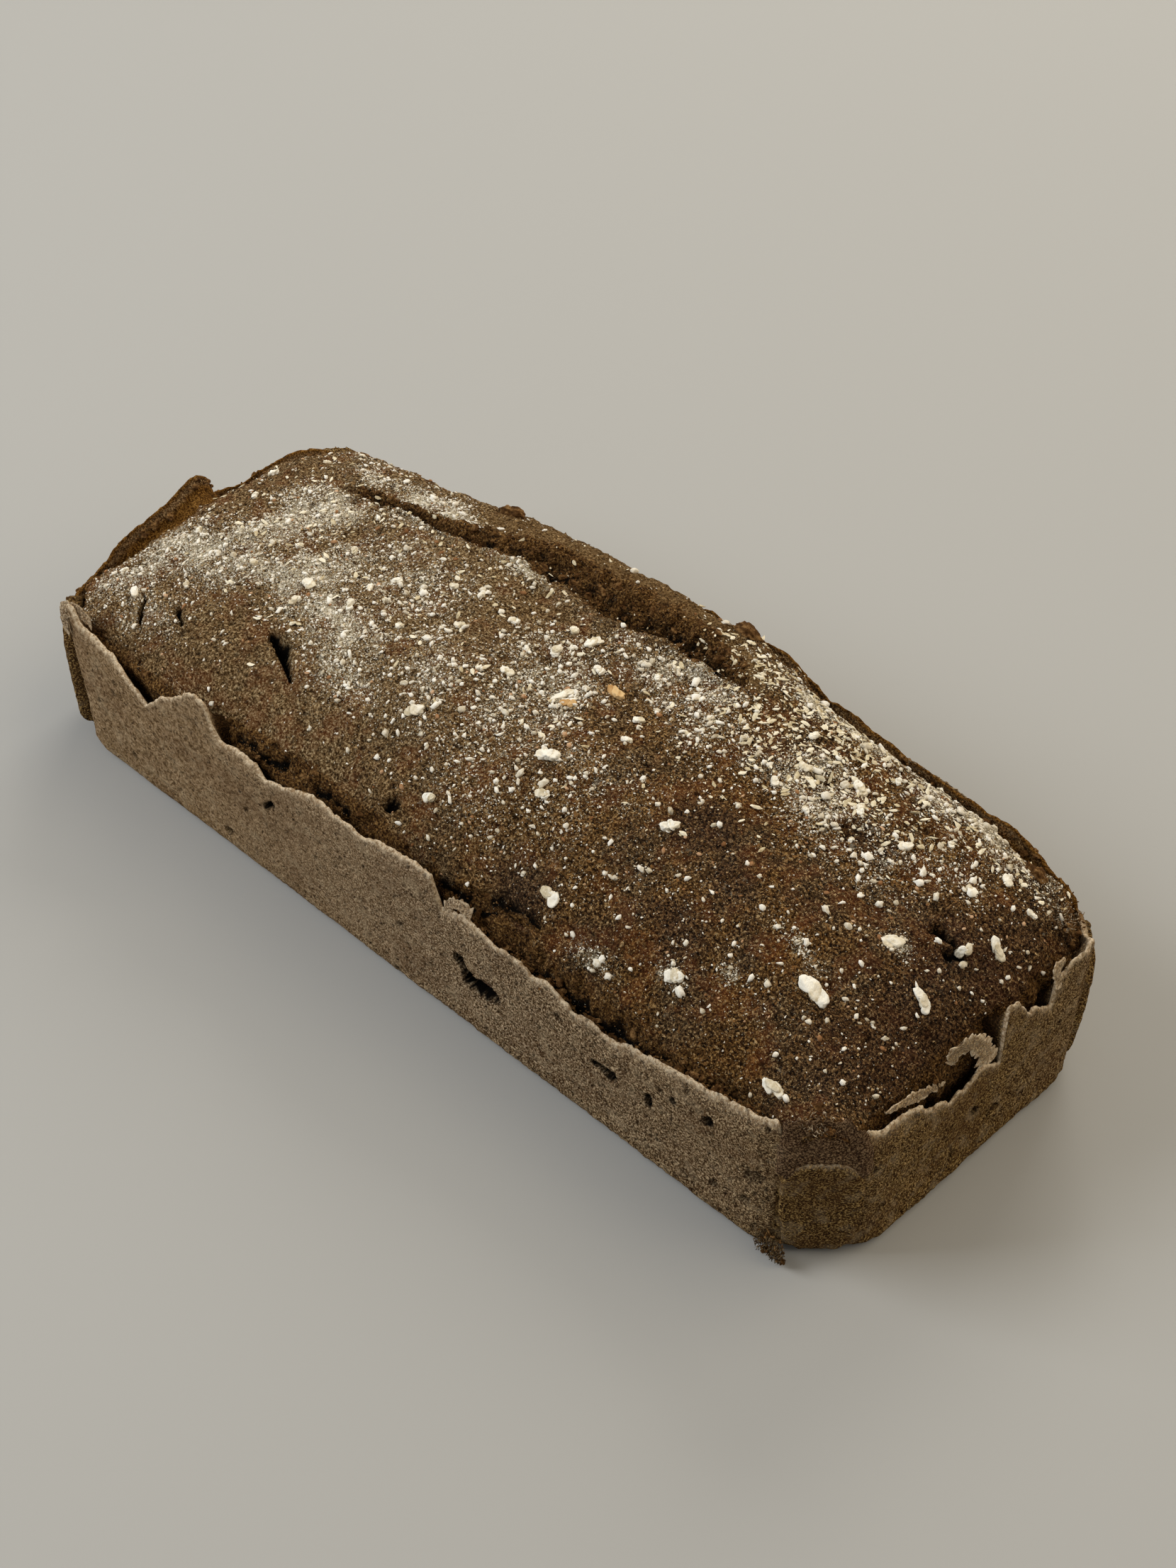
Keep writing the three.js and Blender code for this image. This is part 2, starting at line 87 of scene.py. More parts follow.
# How the rim is torn: height and length of its waves, how much of the finer ones and of the nicks there is
# round the loaf, its nicks and single teeth, how thick its edge is and how it leans in
RAGGED = [(0.9, 5.1), (0.25, 2.7)]
FINE_RAGGED = [(0.16, 1.9), (0.2, 0.8)]
RIM_TORN = [
    (0, 1.2), (60, 1.5), (80, 1), (150, 0.8), (260, 0.9), (280, 1.2), (365, 1.3), (375, 0.6), (733, 0.5)]
NICK = {"depth": 1.0, "length": 3.1}
TOOTH = {"height": 0.4, "length": 0.5}
EDGE_THICK = 0.95
CURL = {"reach": 1.1, "length": 13.0, "height": 4.5}

# Relief of the walls and of the crevice's floor, and how it lessens where the wall is calm
WALL_SWELL = (0.22, 9)
WALL_GRAIN = {"height": 0.24, "calmer": 0.12, "length": 1.3}
PORES = {"spacing": 2.2, "radius": 0.7, "share": 0.45, "fewer": 0.2, "depth": 0.45}
INNER_RELIEF = 0.5

# How even and how brown the walls are, by distance round the loaf from the near left corner
WALL_CALM = [(0, 1), (60, 1), (125, 0.35), (165, 0), (733, 0.3)]
# The right end wall is browner partly from its own crust and partly as painted shade, turned away from the
# main light
WALL_TONE_AND_SHADE = [(0, 0.1), (150, 0.12), (240, 0.4), (262, 0.85), (315, 1), (345, 0.75), (400, 0.6), (733, 0.3)]
# Paler tint below the rim as share and reach, partly the thin edge's own lighter colour and partly a painted
# highlight, how softly the far side begins, and how brown the foot is and how far up
RIM_TINT = [(0.75, 0.6), (0.3, 4)]
FAR_FADE = 16
FOOT_TONE = (0.3, 9)

# Torn holes and pores in the two walls that show: both ends along the wall and in height, radius, depth
FRONT_HOLES = [
    (20.6, 22.9, 23.2, 19.8, 1.1, 3), (24.2, 18.2, 31.4, 18.8, 2.0, 3), (23, 16.7, 26.4, 16.4, 0.5, 2.2),
    (64.3, 22.3, 66.6, 22.8, 0.55, 2.4), (67.8, 22.2, 69.9, 21.8, 1.15, 3),
    (81, 24.6, 81.3, 21.7, 0.55, 2.6), (-45.6, 26.8, -43.2, 28.8, 0.5, 2.2),
    (52.8, 29.5, 53.6, 29.1, 0.55, 1.8), (98.2, 30.7, 98.8, 31.1, 0.8, 2.8),
    (88, 29.4, 88.2, 29.4, 0.5, 2.4), (84.2, 29.8, 84.3, 29.6, 0.3, 1.8), (91.5, 36, 91.6, 36, 0.3, 1.6),
    (114.4, 42, 114.6, 42, 0.4, 1.6), (111.5, 22.5, 113.5, 24.5, 1.3, 0.9),
    (102, 10.6, 102.2, 11, 0.7, 1.2), (111, 13.6, 111.2, 13.8, 0.8, 1.2),
    (-102.6, 27, -102.2, 26.6, 0.3, 1.2), (-63.4, 6.6, -62.6, 6.8, 0.7, 1.4), (-99, 8, -98.8, 9, 0.5, 1),
    (-83, 2, -82.6, 2.2, 0.6, 1), (0, 19, 0.4, 19.2, 0.5, 1.2), (-1.8, 2.4, -1.2, 2.6, 0.5, 1),
    (-54.2, 19.6, -54, 19.4, 0.35, 1), (-110, 20, -109.8, 20.1, 0.25, 0.9),
    (-29, 21, -28.9, 21, 0.25, 0.9),
]
END_HOLES = [
    (-2.2, 21, -1, 19.4, 0.5, 1.8), (5, 13.2, 8, 13.6, 0.45, 1.4), (-34, 13.2, -33.4, 13, 0.7, 1.6),
    (27.2, 24, 29, 25, 0.5, 1), (-8.4, 11.4, -7.8, 9, 0.35, 0.9), (-36.5, 29.8, -36.3, 29.8, 0.3, 0.8),
]
# How ragged the holes are, how deep their painted shade is by their depth, and the flap across one of them
HOLE_RAGGED = 0.4
HOLE_PAINTED_SHADE = [(1.4, 0.5), (1.6, 0.375), (1.8, 0.75), (2, 0.75), (2.2, 1)]
HOLE_FLAP = (25, 20.3, 30.2, 20.1, 0.75)
FLAP_RISE = 0.72

# Top, as in the part
TOP_HALF_LENGTH = HALF_LENGTH - CRUST - CREVICE
TOP_HALF_WIDTH = HALF_WIDTH - CRUST - CREVICE
TOP_CORNER_CUT = 11.7
TOP_NEAR_CORNER_CUT = 7.3
NEAR_CORNER = {"x": 125.0, "y": -45.0, "rise": 8.0, "reach": 10.5}
TOP_ROOT = 22.0
CREST = [(-132, 49), (-105, 52.5), (-75, 56.5), (-35, 60), (10, 61.5), (60, 60.5), (100, 56), (132, 50)]
FRONT_EDGE = [(-132, 38), (-100, 36), (-60, 36), (0, 37.5), (60, 34.5), (100, 35), (132, 36)]
BACK_EDGE = [
    (-132, 35), (-98, 36), (-67, 41), (-38, 48), (-10, 52), (20, 54.5), (36, 51), (52, 45), (90, 42),
    (132, 36),
]
BACK_SWELL = {"reach": 2.9, "from": -84.0, "to": 40.0, "rise": 30.0, "fall": 18.0}
FRONT_POWERS = (2.3, 0.72)
BACK_POWERS = (3.6, 0.62)
END_POWERS = (11, 0.62)
LUMPS = [(1.5, 19.0, 0.0), (0.68, 8.0, 40.0)]
LUMPS_AT_EDGE = 0.35
SPLIT = [
    (-97, 21.5, 1, 1), (-90, 22.5, 4, 2.5), (-76, 25.6, 3, 2.2), (-63, 25, 4.5, 2.8), (-52, 28, 9, 3.4),
    (-38, 33.6, 10.5, 3.8), (-24, 33.2, 13, 4.4), (-11, 33.6, 15, 4.8), (0, 34.2, 14, 4.6),
    (12, 35.5, 10, 4.2), (24, 33.6, 7.5, 3.4), (34, 30, 1.5, 1),
]
SLIT = [(-68.5, -26.4, 1, 1), (-66, -27.4, 3, 3.5), (-60.5, -29.2, 4, 4.5), (-52, -34, 1, 1)]
LEFT_SLIT = [(-106.5, -34, 1, 1), (-104, -37.5, 3, 3), (-99.5, -41.3, 1, 1)]
FRONT_CRACK = [(14, -47, 1, 1), (20, -46.4, 2.2, 3), (28, -44.4, 2, 2.6), (41, -44, 1, 1)]
GROOVE_FLOOR = (-0.7, 0.1)

# A finer crack along the front edge, and dents and darker stains of the top, the largest stain being painted
# shade
# over the right end: middle x and y, half length, half width and, for a dent, its depth
EDGE_CRACK = [(-57, -46.6, 1, 1), (-50, -46.4, 2, 2.2), (-42, -46.4, 1.6, 2), (-34, -47, 1, 1)]
DENTS = [
    (109.3, 8.6, 2.2, 1.7, 3.2), (112.4, 9.2, 2, 1.2, 3), (115, 8.2, 2, 1.5, 2.8),
    (113.6, 6.3, 1.3, 0.9, 2.4), (106.5, 12.5, 2, 1.2, 1), (-9.6, -42.4, 2.4, 1.4, 3.2),
    (79, 14, 3.2, 2, 1.1), (64, 21, 3.2, 2.2, 1.2), (-78, 10, 3, 5, 0.9), (-80, 1, 2, 3, 0.7),
    (122.5, -10, 2.4, 1.4, 1), (90, 28, 4, 2, 0.8), (-64.5, -27.6, 2.2, 1.2, 3),
    (-58.5, -31, 2.4, 0.9, 2.6), (20, -31, 1.4, 0.9, 1), (-15, -1, 1.8, 1, 0.8),
]
STAINS_AND_PAINTED_SHADE = [
    (57, -8, 11, 7), (70, -14, 9, 8), (84, 16, 10, 6), (34, -40, 12, 5), (66, -30, 10, 7),
    # The last and largest is painted shade over the right end of the top
    (112, 10, 9, 7), (120, -4, 16, 50),
]
# Hairline cracks: half width, depth and the points they run through
HAIRLINES = [
    (0.55, 2.2, [(11.5, -46.6), (15.3, -46.4), (21.3, -47), (24.6, -46.4), (27.8, -45.6)]),
    (0.5, 2, [(25, -44.6), (28.4, -43.7), (31.1, -43.3), (35.1, -43), (39.9, -43.4)]),
    (0.6, 2.2, [(-58, -46.8), (-53, -46.4), (-47, -46.8), (-42, -46.4)]),
    (0.5, 2, [(-31, -46.8), (-26, -46.2), (-20, -46.6)]),
    (0.8, 2.2, [(-95.1, -32.9), (-92.8, -34.6), (-90.8, -35.6)]),
    (0.35, 1.2, [(-92, 25.4), (-84, 24.2), (-74, 26), (-63, 25)]),
]
HAIRLINE_PAINTED_SHADE = 0.85
# Depth of the gap torn along the top's edges, by x along the front and by y along the right end, its width
# and how ragged it is
FRONT_GAP = [
    (-122, 0.4), (-62, 1.2), (-20, 1.8), (11, 2.4), (16, 2), (28, 2.4), (44, 3), (112, 3), (117, 0),
]
END_GAP = [(-44, 0), (-38, 1.4), (-32, 2.8), (-8, 3), (6, 2.6), (10, 0.8), (24, 0.8), (28, 1.6), (40, 0.8)]
GAP_WIDTH = 2.4
GAP_RAGGED = 1.3

# Flour: soft patches as middle x and y, half length, half width, turn in degrees and strength
FLOUR = [
    (-98, -12, 15, 14, 0, 0.93), (-94, 10, 12, 11, 0, 0.9), (-62, -17, 25, 9, -8, 0.88),
    (-90, 14, 12, 5, 20, 0.6), (-70, 29, 16, 7, 0, 0.98), (-94, 30, 9, 5, 0, 0.6),
    (-106, 41, 14, 4, 0, 0.5), (-116, -28, 8, 19, 0, 0.8), (-58, 4, 28, 14, 0, 0.5),
    (-36, 25, 10, 3, 0, 0.6), (-78, -4, 13, 6, 0, 0.5), (-46, -28, 14, 6, 0, 0.3),
    (-2, 2, 15, 11, -25, 0.78), (-22, -13, 16, 9, -20, 0.3), (18, 22, 20, 8, 8, 0.64),
    (34, 14, 16, 10, -20, 0.42), (68, 19, 20, 10, -6, 0.66), (100, 24, 14, 9, 0, 0.28),
    (96, 40, 22, 7, 0, 0.7), (70, 43, 36, 5, 0, 0.7), (80, 10, 20, 9, 0, 0.35),
    (47, 42, 24, 5.5, -8, 0.5), (-104, -38, 14, 6, 0, 0.45), (30, -14, 20, 9, 0, 0.25),
    (92, -17, 9, 2.5, -10, 0.55), (106, -1, 4, 3, 0, 0.7), (73, -37, 5, 2, 0, 0.8),
    (84, -31, 3, 2, 0, 0.5), (55, -43, 7, 2, 0, 0.55), (-8, -14, 26, 9, 0, 0.34),
    (0, -30, 46, 10, 0, 0.24), (80, -28, 46, 16, 0, 0.08),
]
# How light the top is along the loaf: partly a fine dusting of flour and partly painted light, lighter to the
# left
DUST_AND_PAINTED_LIGHT = [(-132, 0.6), (-90, 0.75), (-60, 0.95), (-30, 0.9), (0, 0.35), (50, 0)]

# Relief of the top where it is whole, as height, length, octaves and start of each size, where it is torn,
# the ridges of the slope behind the split and the lip before it
TOP_RELIEF = [(0.55, 13, 2, 2.0), (0.42, 4.6, 2, 0.0), (0.42, 1.5, 2, 9.0)]
TORN_RELIEF = {"wide": 1.3, "length": 4.2, "fine": 0.5, "fine_length": 1.4}
RIDGES = {"height": 0.9, "length": 3.6}
LIP_RISE = 0.8

# How closely the two crusts are divided
NEAR_STEP = 0.48
CORNER_STEP = 0.62
FAR_STEP = 0.95
UNDER_INSETS = (12, 2)
FOOT_ROWS = 5
WALL_ROWS = 60
RIM_ROWS = 7
INNER_ROWS = 5
TOP_COLUMNS = 470
TOP_ROWS = 180
SKIRT_ROWS = 8
# How far the sides of the top lean in, and how far its far edge keeps from the outside of the back wall
SKIRT_TAPER = 2.2
BACK_CLEAR = 1.3

# Toppings, as in the part
LARGE_FLAKES = [
    (101, -22.5, 4, 2.7, -0.5), (117, -6, 3, 1.6, -0.6), (38.4, -38.7, 3.3, 1.6, -0.5),
    (-18.8, -25.6, 2.7, 1.9, 0.2), (15.7, -17, 2.7, 2.2, 0), (21.6, -24.6, 1.8, 1.5, 0),
    (-0.9, -38.2, 1.7, 1.5, 0), (107, -42, 3.4, 1.7, -0.2), (3, 1, 3.1, 1.5, 0.9),
    (50, -13, 2.3, 1.5, 0.3), (74, -37, 2.7, 2, 0), (71.5, 26, 2.6, 1.7, -0.5),
    (104.5, -1.3, 2.7, 2, 0.4), (119, 16.6, 2.8, 1.5, -0.7), (6.9, -1.4, 2.3, 1.4, 0.1),
    (12, 8.7, 2.7, 1.4, 0), (-3, 17, 2.4, 1.6, 0.8),
]
GOLDEN_FLAKES = [14, 15]
KNOBS = [(-58, 44.5, 2.6), (17, 48.4, 2.8), (110, 42, 2.4)]
KNOB_SHAPE = (1.35, 0.95, 0.8)
FLAKE_THICK = 1.0
FLAKE_PLATES = [(0.38, 0.25, (0.58, 0.72, 1)), (-0.36, -0.25, (0.6, 0.7, 0.9)), (0, 0.1, (0.62, 0.6, 1.15))]
SMALL_FLAKES = 46
SMALL_SIZES = (1.1, 2.1)
SMALL_WIDTHS = (0.6, 0.95)
PART_SEED = 20417
FLOURED = [(-104, 0, 26, 40), (-62, -6, 26, 16), (-10, 6, 40, 15), (56, 22, 44, 17), (105, 20, 22, 18)]
EDGE_CLEAR = 7.0
FLAKE_CLEAR = 6.0
SPLIT_CLEAR = (12.0, 8.0)

# Scattered pieces: how many, their half sizes, how much each bulges and of what size, how far each point is
# moved, how the body is stretched, and how far out of the crust it stands
CHIP_SHAPE = {"jitter": (0.85, 1.18), "stretch": (1.3, 0.85, 0.65), "stand": 0.25}
CRUMB_SHAPE = {"bulge": (0.4, 1.4), "stretch": (1.5, 0.9, 0.8), "stand": -0.15}
DUST = {"count": 26000, "sizes": (0.13, 0.36), "jitter": (0.6, 1.5), "stretch": (1.2, 1, 0.8), "stand": 0.25}
GRIT = {"count": 22000, "sizes": (0.17, 0.5), "jitter": (0.7, 1.4), "stretch": (1.2, 1, 0.7), "stand": 0.05}
CHIPS = {"count": 3900, "sizes": (0.24, 0.76), "bulge": (0.5, 1.4), **CHIP_SHAPE}
LUMPY = {"count": 400, "sizes": (0.55, 1.2), "bulge": (0.4, 1.4), **CHIP_SHAPE}
CHAFF = {"count": 2100, "sizes": (0.3, 1.35), "bulge": (0.4, 1.5), "stretch": (1.1, 0.5, 0.22), "stand": 0.2}
BRAN = {"count": 300, "sizes": (0.35, 0.8), "bulge": (0.25, 1.5), "stretch": (1.2, 0.9, 0.5), "stand": 0.15}
COARSE_CRUMB = {"count": 560, "sizes": (0.4, 1.1), **CRUMB_SHAPE}
FINE_CRUMB = {"count": 4000, "sizes": (0.2, 0.5), **CRUMB_SHAPE}
LEFT_SMALLER = 0.22

# How small pieces vary: by how much each is stretched, tilted and turned, how many more are small than large,
# and how flakes and blisters bulge
STRETCHES = (0.7, 1.2)
TILT = 0.25
SMALL_POWER = 3.2
FULL_TURN = 6.3
FLAKE_BULGE = (0.26, 1.7)
FLAKE_STAND = 0.25
KNOB_BULGE = (0.22, 2.6)

# Where the chaff lies, as middle x and y, half length, half width and share
CHAFF_PLACES = [
    (44, 41, 30, 9, 1), (60, 25, 30, 13, 0.75), (92, 40, 26, 9, 0.6), (0, 10, 70, 30, 0.09),
    (-80, 5, 40, 30, 0.12),
]

# Share of the crumbs along the rims and, of these, in the crevice behind the front rim, and heaps of crumb at
# the foot of the near corner, at the right far corner and on the chamfer's top: middle, spread and share
RIM_CRUMB = 0.42
FRONT_CRUMB = {"share": 0.45, "from": 16.0, "to": 112.0, "inset": 0.6, "sunk": 1.3}
CRUMB_HEAPS = [
    ((116, -50.2, 4.4), (3.8, 0.8, 3), 0.02), ((123, 38, 43), (3, 2.6, 1.2), 0.02),
    ((122.4, -44, 46), (3.4, 3.4, 0.6), 0.012),
]

# Corner patches, as in the part
PATCH_HALF_WIDTH = 8.8
PATCH_THICK = 0.6
PATCH_ROOT = 3.0
PATCH_FOOT = 0.8
PATCH_SIDE = [(0, 0.4), (0.12, 0.85), (0.5, 1), (0.81, 1), (0.94, 0.72), (1, 0.35)]
PATCHES = [(1, -1, 0.5, 34.5), (1, 1, 1.0, 36), (-1, 1, 1.4, 36), (-1, -1, 2.8, 37.5)]
PATCH_ROWS = 52
PATCH_COLUMNS = 34

# Loose skins of crust, each with how pale, brown, stained and ragged it is and rows of points from edge to
# edge: the curl, the loose strip and the loop on the right end, the chamfer above the near patch, the folds
# at the left corner, the strip at the back, the end of the front tab and the chip behind the left tab
SKINS = [
    (0.9, 0.7, 0, 2.3, [
        [(130.7, 3.8, 33.6), (130.6, 2.8, 37.4), (130.3, 0.2, 42), (129.8, -4.2, 46.4),
         (129.1, -9.2, 46.6), (128.4, -10.9, 43.6), (128.2, -9.2, 39.8)],
        [(130.9, -1.8, 33.2), (130.7, -2.2, 36.2), (130.4, -2.9, 39.4), (129.9, -4.6, 41.8),
         (129.2, -6.8, 41.6), (128.8, -7.5, 40.2), (128.6, -7, 38.4)]]),
    (0.8, 0.6, 0, 1, [
        [(128.7, -31.6, 43.9), (128.5, -27, 42.6), (128.3, -21.5, 41), (128.2, -16, 38.2),
         (128.4, -10.6, 36)],
        [(128.9, -31.4, 43.1), (129.1, -26.8, 41.2), (129.2, -21.6, 38.9), (128.9, -16, 36.8),
         (128.6, -10.4, 35.2)]]),
    (1, 0.4, 0, 1.1, [
        [(130.9, 24, 39), (130.5, 22.9, 43.6), (129.9, 23.8, 46), (129.3, 26.8, 45.9), (128.9, 28.6, 44.4),
         (129.1, 27.9, 42.2)],
        [(130.9, 25.8, 39), (130.6, 25.6, 42), (130.1, 25.6, 43.4), (129.7, 26.4, 43.4), (129.4, 26.9, 42.8),
         (129.4, 26.6, 42)]]),
    (0.05, 0.9, 0.75, 2.2, [
        [(115, -49.6, 30), (117.8, -50.7, 30), (122, -46.9, 30), (126.5, -42.5, 30), (130.5, -38, 30),
         (129.9, -34.6, 30)],
        [(115, -49.4, 38), (117.8, -50.5, 38), (122, -46.8, 38), (126.4, -42.4, 38), (130.3, -38, 38),
         (129.7, -34.6, 38)],
        [(116, -49, 44.5), (118, -49.6, 46.5), (121.6, -46.2, 47), (125.6, -42.2, 47), (129.2, -38.6, 44.5),
         (129.2, -36, 41)]]),
    (0.6, 0.1, 0, 1, [
        [(-117.6, -51.2, 37), (-119.4, -50.8, 42), (-118.4, -50, 45.4), (-114.8, -48.8, 46.2),
         (-110.8, -48, 43.6)],
        [(-116, -51.5, 37), (-116.4, -51.2, 40.6), (-115.4, -50.6, 43), (-113, -49.6, 43.4),
         (-109.8, -48.8, 41.2)]]),
    (0.3, 0.7, 0, 1.2, [
        [(66, 50.4, 46.4), (74, 51, 46.4), (84, 51.3, 45.2), (93, 50.6, 43.2)],
        [(66, 50.8, 43.4), (74, 51.5, 42.8), (84, 51.6, 41.6), (93, 51, 40.4)]]),
    (0.7, 0.1, 0, 1.5, [
        [(15.4, -50.6, 35), (16.4, -49.8, 39.4), (19.6, -49.2, 40.8), (23.6, -48.6, 40)],
        [(17.6, -50.8, 35), (18.6, -50.4, 37.6), (20.8, -50.2, 38.6), (23.8, -49.8, 38)]]),
    (0.8, 0.6, 0, 1.5, [
        [(-67, -49.2, 37), (-66.4, -48.6, 39.6), (-64.6, -47.8, 40.2)],
        [(-63.6, -49.2, 36), (-63.4, -48.4, 38), (-63, -47.6, 39)]]),
]
SKIN_THICK = 0.5
SKIN_ROWS = 26
SKIN_COLUMNS = 60
# Fibres of crust that stick out: middle, spread, mean direction, count and how pale they are
FIBRES = [
    ((115.8, -50.7, 4.2), (3.9, 0.5, 2.9), (-0.1, -0.4, -0.7), 260, 0.25),
    ((121.5, -45.4, 46.4), (3.4, 3.4, 0.5), (0.2, -0.2, 1), 60, 0.9),
    ((122, 37, 46), (3.5, 3.5, 1), (0.3, -0.3, 1), 60, 0.9),
    ((-71, -50.6, 44), (6, 0.4, 3), (-0.5, 0, 1), 40, 0.9),
]
FIBRE_LENGTHS = (0.6, 1.7)
FIBRE_THICK = 0.14

# Light and camera of the stage. Each light has its place, aim, size, power and tint
FLOOR_COLOUR = (170, 169, 165)
FLOOR_REACH = 3.0
FLOOR_DROP = 1e-4
ROOM = {"colour": (238, 238, 236), "strength": 0.34}
LIGHTS = {
    "Window": ((-0.9, -0.8, 0.95), (0, 0, 0.03), 0.8, 16.5, (243, 246, 250)),
    "Room": ((0.84, 0.8, 1.3), (0, 0, 0.03), 1.9, 17.0, (255, 238, 210)),
    "Far": ((-0.6, 1.2, 0.8), (-0.45, 0.5, 0), 0.8, 10.0, (255, 250, 240)),
}
CAMERA = {"place": (0.3752, -0.3721, 0.5462), "view": (-0.4994, 0.5113, -0.6994), "lens": 71.6, "sensor": 36}

# Every crust and topping is dry and matt
ROUGHNESS = 0.92
SPECULAR = 0.06

# Finishes of the small pieces: size of the grain, colours from dark to light, and depth of the bump
PLAIN_FINISHES = {
    "Torn crumb": (0.6, [(0.25, (38, 22, 8)), (0.5, (88, 60, 32)), (0.72, (146, 112, 70))], 0.5),
    "Crust grit": (1.0, [(0.2, (46, 29, 14)), (0.45, (94, 68, 39)), (0.75, (182, 152, 108))], 0.1),
    "Flour": (0.7, [(0.2, (172, 156, 126)), (0.38, (214, 202, 178)), (0.62, (246, 240, 226))], 0.2),
    "Cream flake": (1.6, [(0.25, (196, 180, 146)), (0.4, (228, 216, 190)), (0.6, (246, 240, 224))], 0.5),
    "Golden flake": (2.2, [(0.3, (184, 142, 90)), (0.6, (222, 188, 136))], 0.2),
    "Chaff": (1.0, [(0.2, (160, 140, 104)), (0.38, (206, 190, 154)), (0.62, (240, 230, 204))], 0.2),
    "Bran": (3.0, [(0.3, (120, 82, 50)), (0.5, (160, 118, 80)), (0.68, (204, 168, 132))], 0.2),
}


def colour(red, green, blue):
    """Linear colour from the usual 0 to 255 values."""
    values = [c / 255 for c in (red, green, blue)]
    return tuple(c / 12.92 if c <= 0.04045 else ((c + 0.055) / 1.055) ** 2.4 for c in values) + (1.0,)


def hashed(i, j):
    value = np.sin(i * 127.1 + j * 311.7) * 43758.5453
    return value - np.floor(value)


def ease(t):
    k = np.clip(t, 0, 1)
    return k * k * (3 - 2 * k)


def stretch(x, start, rise, stop, fall):
    """1 on a stretch of x and 0 beyond it, with a soft rise from its start and a soft fall to its stop."""
    return ease((x - start) / rise) * ease((stop - x) / fall)


def noise(x, y):
    """Smooth noise from -1 to 1, the same as the part's."""
    x, y = np.broadcast_arrays(np.asarray(x, float), np.asarray(y, float))
    i, j = np.floor(x), np.floor(y)
    a, b = ease(x - i), ease(y - j)
    low = hashed(i, j) * (1 - a) + hashed(i + 1, j) * a
    high = hashed(i, j + 1) * (1 - a) + hashed(i + 1, j + 1) * a
    return 2 * (low * (1 - b) + high * b) - 1


def rough(x, y, length, octaves=3, start=0.0):
    """Noise of several sizes, the largest of them length millimetres, from about -1 to 1."""
    total, weight, weights = 0, 1.0, 0.0
    for k in range(octaves):
        total = total + weight * noise(x / length + 17.3 * k + start, y / length - 9.7 * k - start)
        weights += weight
        length, weight = length * 0.5, weight * 0.6
    return total / weights * 1.4


def pits(x, y, cell, radius, share, start):
    """Round pits scattered about one to a cell, as depths from 0 to 1."""
    deepest = np.zeros(np.broadcast(x, y).shape)
    for step_i in (-1, 0, 1):
        for step_j in (-1, 0, 1):
            i, j = np.floor(x / cell) + step_i, np.floor(y / cell) + step_j
            centre_x = (i + hashed(i + start, j)) * cell
            centre_y = (j + hashed(i, j + start)) * cell
            size = radius * (0.4 + 0.6 * hashed(i - start, j + 2 * start))
            apart = np.hypot(x - centre_x, (y - centre_y) * 1.2) / size
            kept = hashed(i + 3 * start, j - start) < share
            deepest = np.maximum(deepest, kept * np.clip(1 - apart * apart, 0, 1))
    return deepest


def between(stations, place, k=1):
    """Value number k of stations at places between them."""
    return np.interp(place, [s[0] for s in stations], [s[k] for s in stations])


def near_line(x, y, x0, y0, x1, y1):
    """Distance to the line between two points."""
    long_x, long_y = x1 - x0, y1 - y0
    along = np.clip(((x - x0) * long_x + (y - y0) * long_y) / (long_x ** 2 + long_y ** 2 + TINY), 0, 1)
    return np.hypot(x - x0 - along * long_x, y - y0 - along * long_y)


def unit(vectors, least=0.0):
    """Vectors of length 1. The least length keeps points without a direction from failing."""
    return vectors / (np.linalg.norm(vectors, axis=-1)[..., None] + least)


def grid_faces(rows, columns, closed):
    """Quads of a grid of points in rows, the last column joined to the first if closed."""
    last = columns if closed else columns - 1
    i, j = np.meshgrid(np.arange(rows - 1), np.arange(last), indexing="ij")
    k = (j + 1) % columns
    quads = np.stack([i * columns + j, i * columns + k, (i + 1) * columns + k, (i + 1) * columns + j], -1)
    return quads.reshape(-1, 4)


def border_of(rows, columns):
    """Numbers of the points round the border of a grid."""
    number = np.arange(rows * columns).reshape(rows, columns)
    return np.concatenate([number[0, :-1], number[:-1, -1], number[-1, :0:-1], number[:0:-1, 0]])


def make_piece(name, points, faces, finish, fields):
    """Mesh piece of points in millimetres and lists of equal faces, which stands for the part's loaf."""
    mesh = bpy.data.meshes.new(name)
    mesh.vertices.add(len(points))
    mesh.vertices.foreach_set("co", (points * MM).astype(np.float32).ravel())
    corners = np.concatenate([f.ravel() for f in faces])
    sizes = np.concatenate([np.full(len(f), f.shape[1]) for f in faces])
    mesh.loops.add(len(corners))
    mesh.loops.foreach_set("vertex_index", corners.astype(np.int32))
    mesh.polygons.add(len(sizes))
    mesh.polygons.foreach_set("loop_start", (np.cumsum(sizes) - sizes).astype(np.int32))
    mesh.update(calc_edges=True)
    mesh.validate()
    mesh.polygons.foreach_set("use_smooth", np.ones(len(mesh.polygons), bool))
    for key, values in fields.items():
        field = mesh.attributes.new(key, "FLOAT", "POINT")
        field.data.foreach_set("value", values.astype(np.float32).ravel())
    piece = bpy.data.objects.new(name, mesh)
    bpy.context.scene.collection.objects.link(piece)
    mesh.materials.append(finish)
    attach(piece, "root")
    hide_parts("loaf")
    return piece


# Side crust


def outline(a, b, cut):
    """The part's points round a rectangle with cut and eased corners, from the left end of the front."""
    corners = [
        (cut - a, -b, LONG_STEPS), (a - cut, -b, CORNER_STEPS), (a, cut - b, END_STEPS),
        (a, b - cut, CORNER_STEPS), (a - cut, b, LONG_STEPS), (cut - a, b, CORNER_STEPS),
        (-a, b - cut, END_STEPS), (-a, cut - b, CORNER_STEPS),
    ]
    runs = []
    for (x, y, steps), (next_x, next_y, _) in zip(corners, corners[1:] + corners[:1]):
        t = np.arange(steps) / steps
        runs.append(np.stack([x + (next_x - x) * t, y + (next_y - y) * t], 1))
    points = np.concatenate(runs)
    return (np.roll(points, 1, 0) + 2 * points + np.roll(points, -1, 0)) / 4


